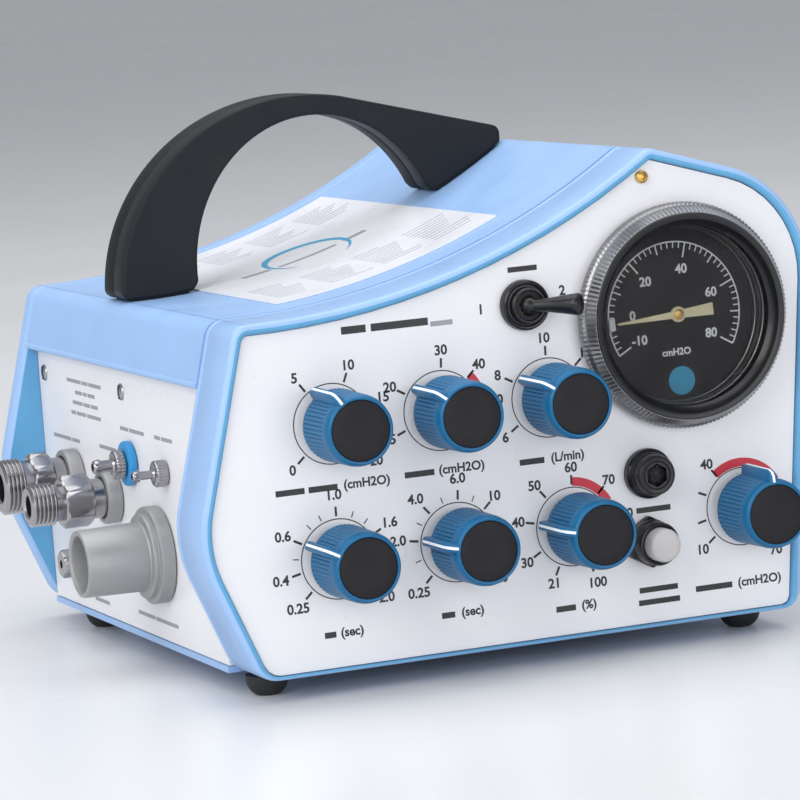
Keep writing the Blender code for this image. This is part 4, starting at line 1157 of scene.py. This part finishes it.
def hose_barb(name, node, centre, base, barb, reach):
    """Small hose barb on a knurled round base; base is (radius, back, front)."""
    radius, back, front = base
    samples = 96
    bore = barb * 0.55
    rounds = [(bore, reach - 5.0), (bore, reach), (barb - 0.35, reach), (barb, reach - 0.4),
              (barb + 0.35, reach - 2.1), (barb + 0.3, reach - 2.3), (barb - 0.2, reach - 2.5),
              (barb - 0.2, front + 0.6), (barb + 0.3, front)]
    levels = [(circle(size, samples), distance) for size, distance in rounds]

    def knurl(size):
        return [point * (1 - 0.045 * (step % 4 < 2)) for step, point in
                enumerate(circle(size, samples))]

    levels += [(circle(radius - 0.8, samples), front), (circle(radius - 0.3, samples), front - 0.2),
               (knurl(radius), front - 0.6), (knurl(radius), back + 0.5),
               (circle(radius - 0.3, samples), back + 0.1), (circle(2.0, samples), back),
               (circle(2.0, samples), -6.0)]
    layers = [layer_yz(points, distance) for points, distance in levels]
    place(name, loft(name, layers, sharp_degrees=28), "nickel", replaces=[node],
          at=side(centre))


def make_small_fittings():
    """Relief plug and slotted side screws, each with a black bar on its head as painted shade for
    the slot.
    """
    flat, corner = 4.5, 5.05
    levels = [(1.5, 3.4), (1.5, 5.2), (flat - 0.15, 5.2, flat), (corner, 4.6, flat),
              (corner, 0.3, flat), (3.0, 0.3), (3.0, -6.0)]
    place("plug_relief", loft("plug_relief", fitting_layers(levels, 48, layer_yz)), "nickel",
          replaces=["relief_plug"], at=side(RELIEF_PLUG))
    head = [(0, 0.95), (1.2, 0.9), (2.1, 0.75), (2.6, 0.5), (2.8, 0.2), (2.85, 0.1), (1.5, 0.1),
            (1.5, -2.0), (0, -2.0)]
    # The slot is not cut: a black bar on each head is painted shade for the recess.
    slot = [(-0.4, -2.3), (-0.4, 2.3), (0.4, 2.3), (0.4, -2.3)]
    for number, centre in enumerate(SIDE_SCREWS, 1):
        place("screw_head_%d" % number, turned("screw_head", head, 40, "x", 60), "nickel",
              replaces=["side_screw_%d" % number], at=side(centre))
        layers = [layer_yz(slot, distance) for distance in (0.3, 0.98)]
        place("screw_slot_%d" % number, loft("slot_painted_shade", layers), "rubber_black",
              at=side(centre), material=TRIM["black_and_painted_shade"])


def make_connections():
    """All fittings on the side panel."""
    make_patient_port()
    gas_inlet("nipple_oxygen", "oxygen_inlet", OXYGEN_INLET, 7.1, 31.0, (19.6, 9.6), 7.9, 6.7, 3.7)
    gas_inlet("nipple_air", "air_inlet", AIR_INLET, 9.45, 28.0, (17.6, 10.0), 9.4, 8.2, 4.9)
    make_collars()
    hose_barb("barb_proximal", "proximal_port", PROXIMAL_PORT, (4.85, 3.1, 6.6), 2.2, 13.5)
    hose_barb("barb_exhalation", "exhalation_port", EXHALATION_PORT, (4.35, 0.3, 4.4), 1.6, 11.6)
    make_small_fittings()


def dress_cad_nodes():
    """Give every carried-over CAD node its slot's material."""
    for entry in frame["record"]["subparts"]:
        node = frame["nodes"][entry["node"]]
        node.data.materials.clear()
        node.data.materials.append(MATERIALS[entry["material_slot"]])


# Studio.

def make_floor():
    """Large pale floor."""
    bm = bmesh.new()
    half = 30.0
    corners = [(-half, -half), (half, -half), (half, half), (-half, half)]
    bm.faces.new([bm.verts.new((x, y, 0)) for x, y in corners])
    mesh = bpy.data.meshes.new("floor")
    bm.to_mesh(mesh)
    bm.free()
    floor = bpy.data.objects.new("floor", mesh)
    bpy.context.collection.objects.link(floor)
    mesh.materials.append(surface("floor_white", (0.745, 0.75, 0.76), 0.28, mottle=0.01,
                                  grain=(40, 0.00001), smudge=3.0, specular=0.3))


def make_camera():
    """Camera at the solved viewpoint: long lens, turned right and tipped down and over."""
    yaw, pitch, roll = 0.371451, 0.116552, -0.0740807
    forward = Vector((sin(yaw) * cos(pitch), cos(yaw) * cos(pitch), -sin(pitch)))
    right = forward.cross(Vector((0, 0, 1))).normalized()
    up = right.cross(forward)
    level_right = cos(roll) * right + sin(roll) * up
    level_up = -sin(roll) * right + cos(roll) * up
    data = bpy.data.cameras.new("camera")
    data.lens = 193.88
    data.sensor_width = 36.0
    data.clip_end = 100.0
    camera = bpy.data.objects.new("camera", data)
    rotation = Matrix((level_right, level_up, -forward)).transposed().to_4x4()
    camera.matrix_world = Matrix.Translation(world((-431.05, -1238.28, 236.71))) @ rotation
    bpy.context.collection.objects.link(camera)
    bpy.context.scene.camera = camera


def add_softbox(name, place_at, aim, size, power, tint=(1.0, 1.0, 1.0)):
    """Add an area light that looks at a point; all in metres."""
    data = bpy.data.lights.new(name, "AREA")
    data.shape = "RECTANGLE"
    data.size, data.size_y = size
    data.energy = power
    data.color = tint
    lamp = bpy.data.objects.new(name, data)
    lamp.location = place_at
    lamp.rotation_euler = (Vector(aim) - Vector(place_at)).to_track_quat("-Z", "Y").to_euler()
    bpy.context.collection.objects.link(lamp)


def make_lights():
    """Overhead softbox, left key, front fill, low left kicker and a pale surround."""
    centre = (0.0, 0.0, 0.08)
    add_softbox("key_left", (-2.0, -1.2, 1.3), centre, (1.8, 1.6), 35, (1.0, 0.995, 0.98))
    add_softbox("overhead", (0.0, 0.2, 2.1), centre, (2.6, 2.6), 44, (0.97, 0.985, 1.0))
    add_softbox("front_fill", (0.1, -2.4, 0.5), centre, (2.6, 0.9), 20)
    add_softbox("low_left", (-2.0, -0.2, 0.2), centre, (2.0, 0.3), 2)
    scene_world = bpy.data.worlds.new("studio")
    bpy.context.scene.world = scene_world
    scene_world.use_nodes = True
    background = scene_world.node_tree.nodes["Background"]
    background.inputs["Color"].default_value = (0.72, 0.74, 0.78, 1)
    background.inputs["Strength"].default_value = 0.56
    bpy.context.scene.view_settings.view_transform = "Standard"


def main():
    """Build every piece and the studio."""
    make_camera()
    make_lights()
    make_floor()
    dress_cad_nodes()
    make_bezel()
    make_rear()
    make_cover()
    make_label()
    make_handle()
    make_feet()
    print_panel()
    print_side()
    make_knobs()
    make_gauge()
    make_toggle()
    make_lamp()
    make_button()
    make_panel_screw()
    make_connections()


main()
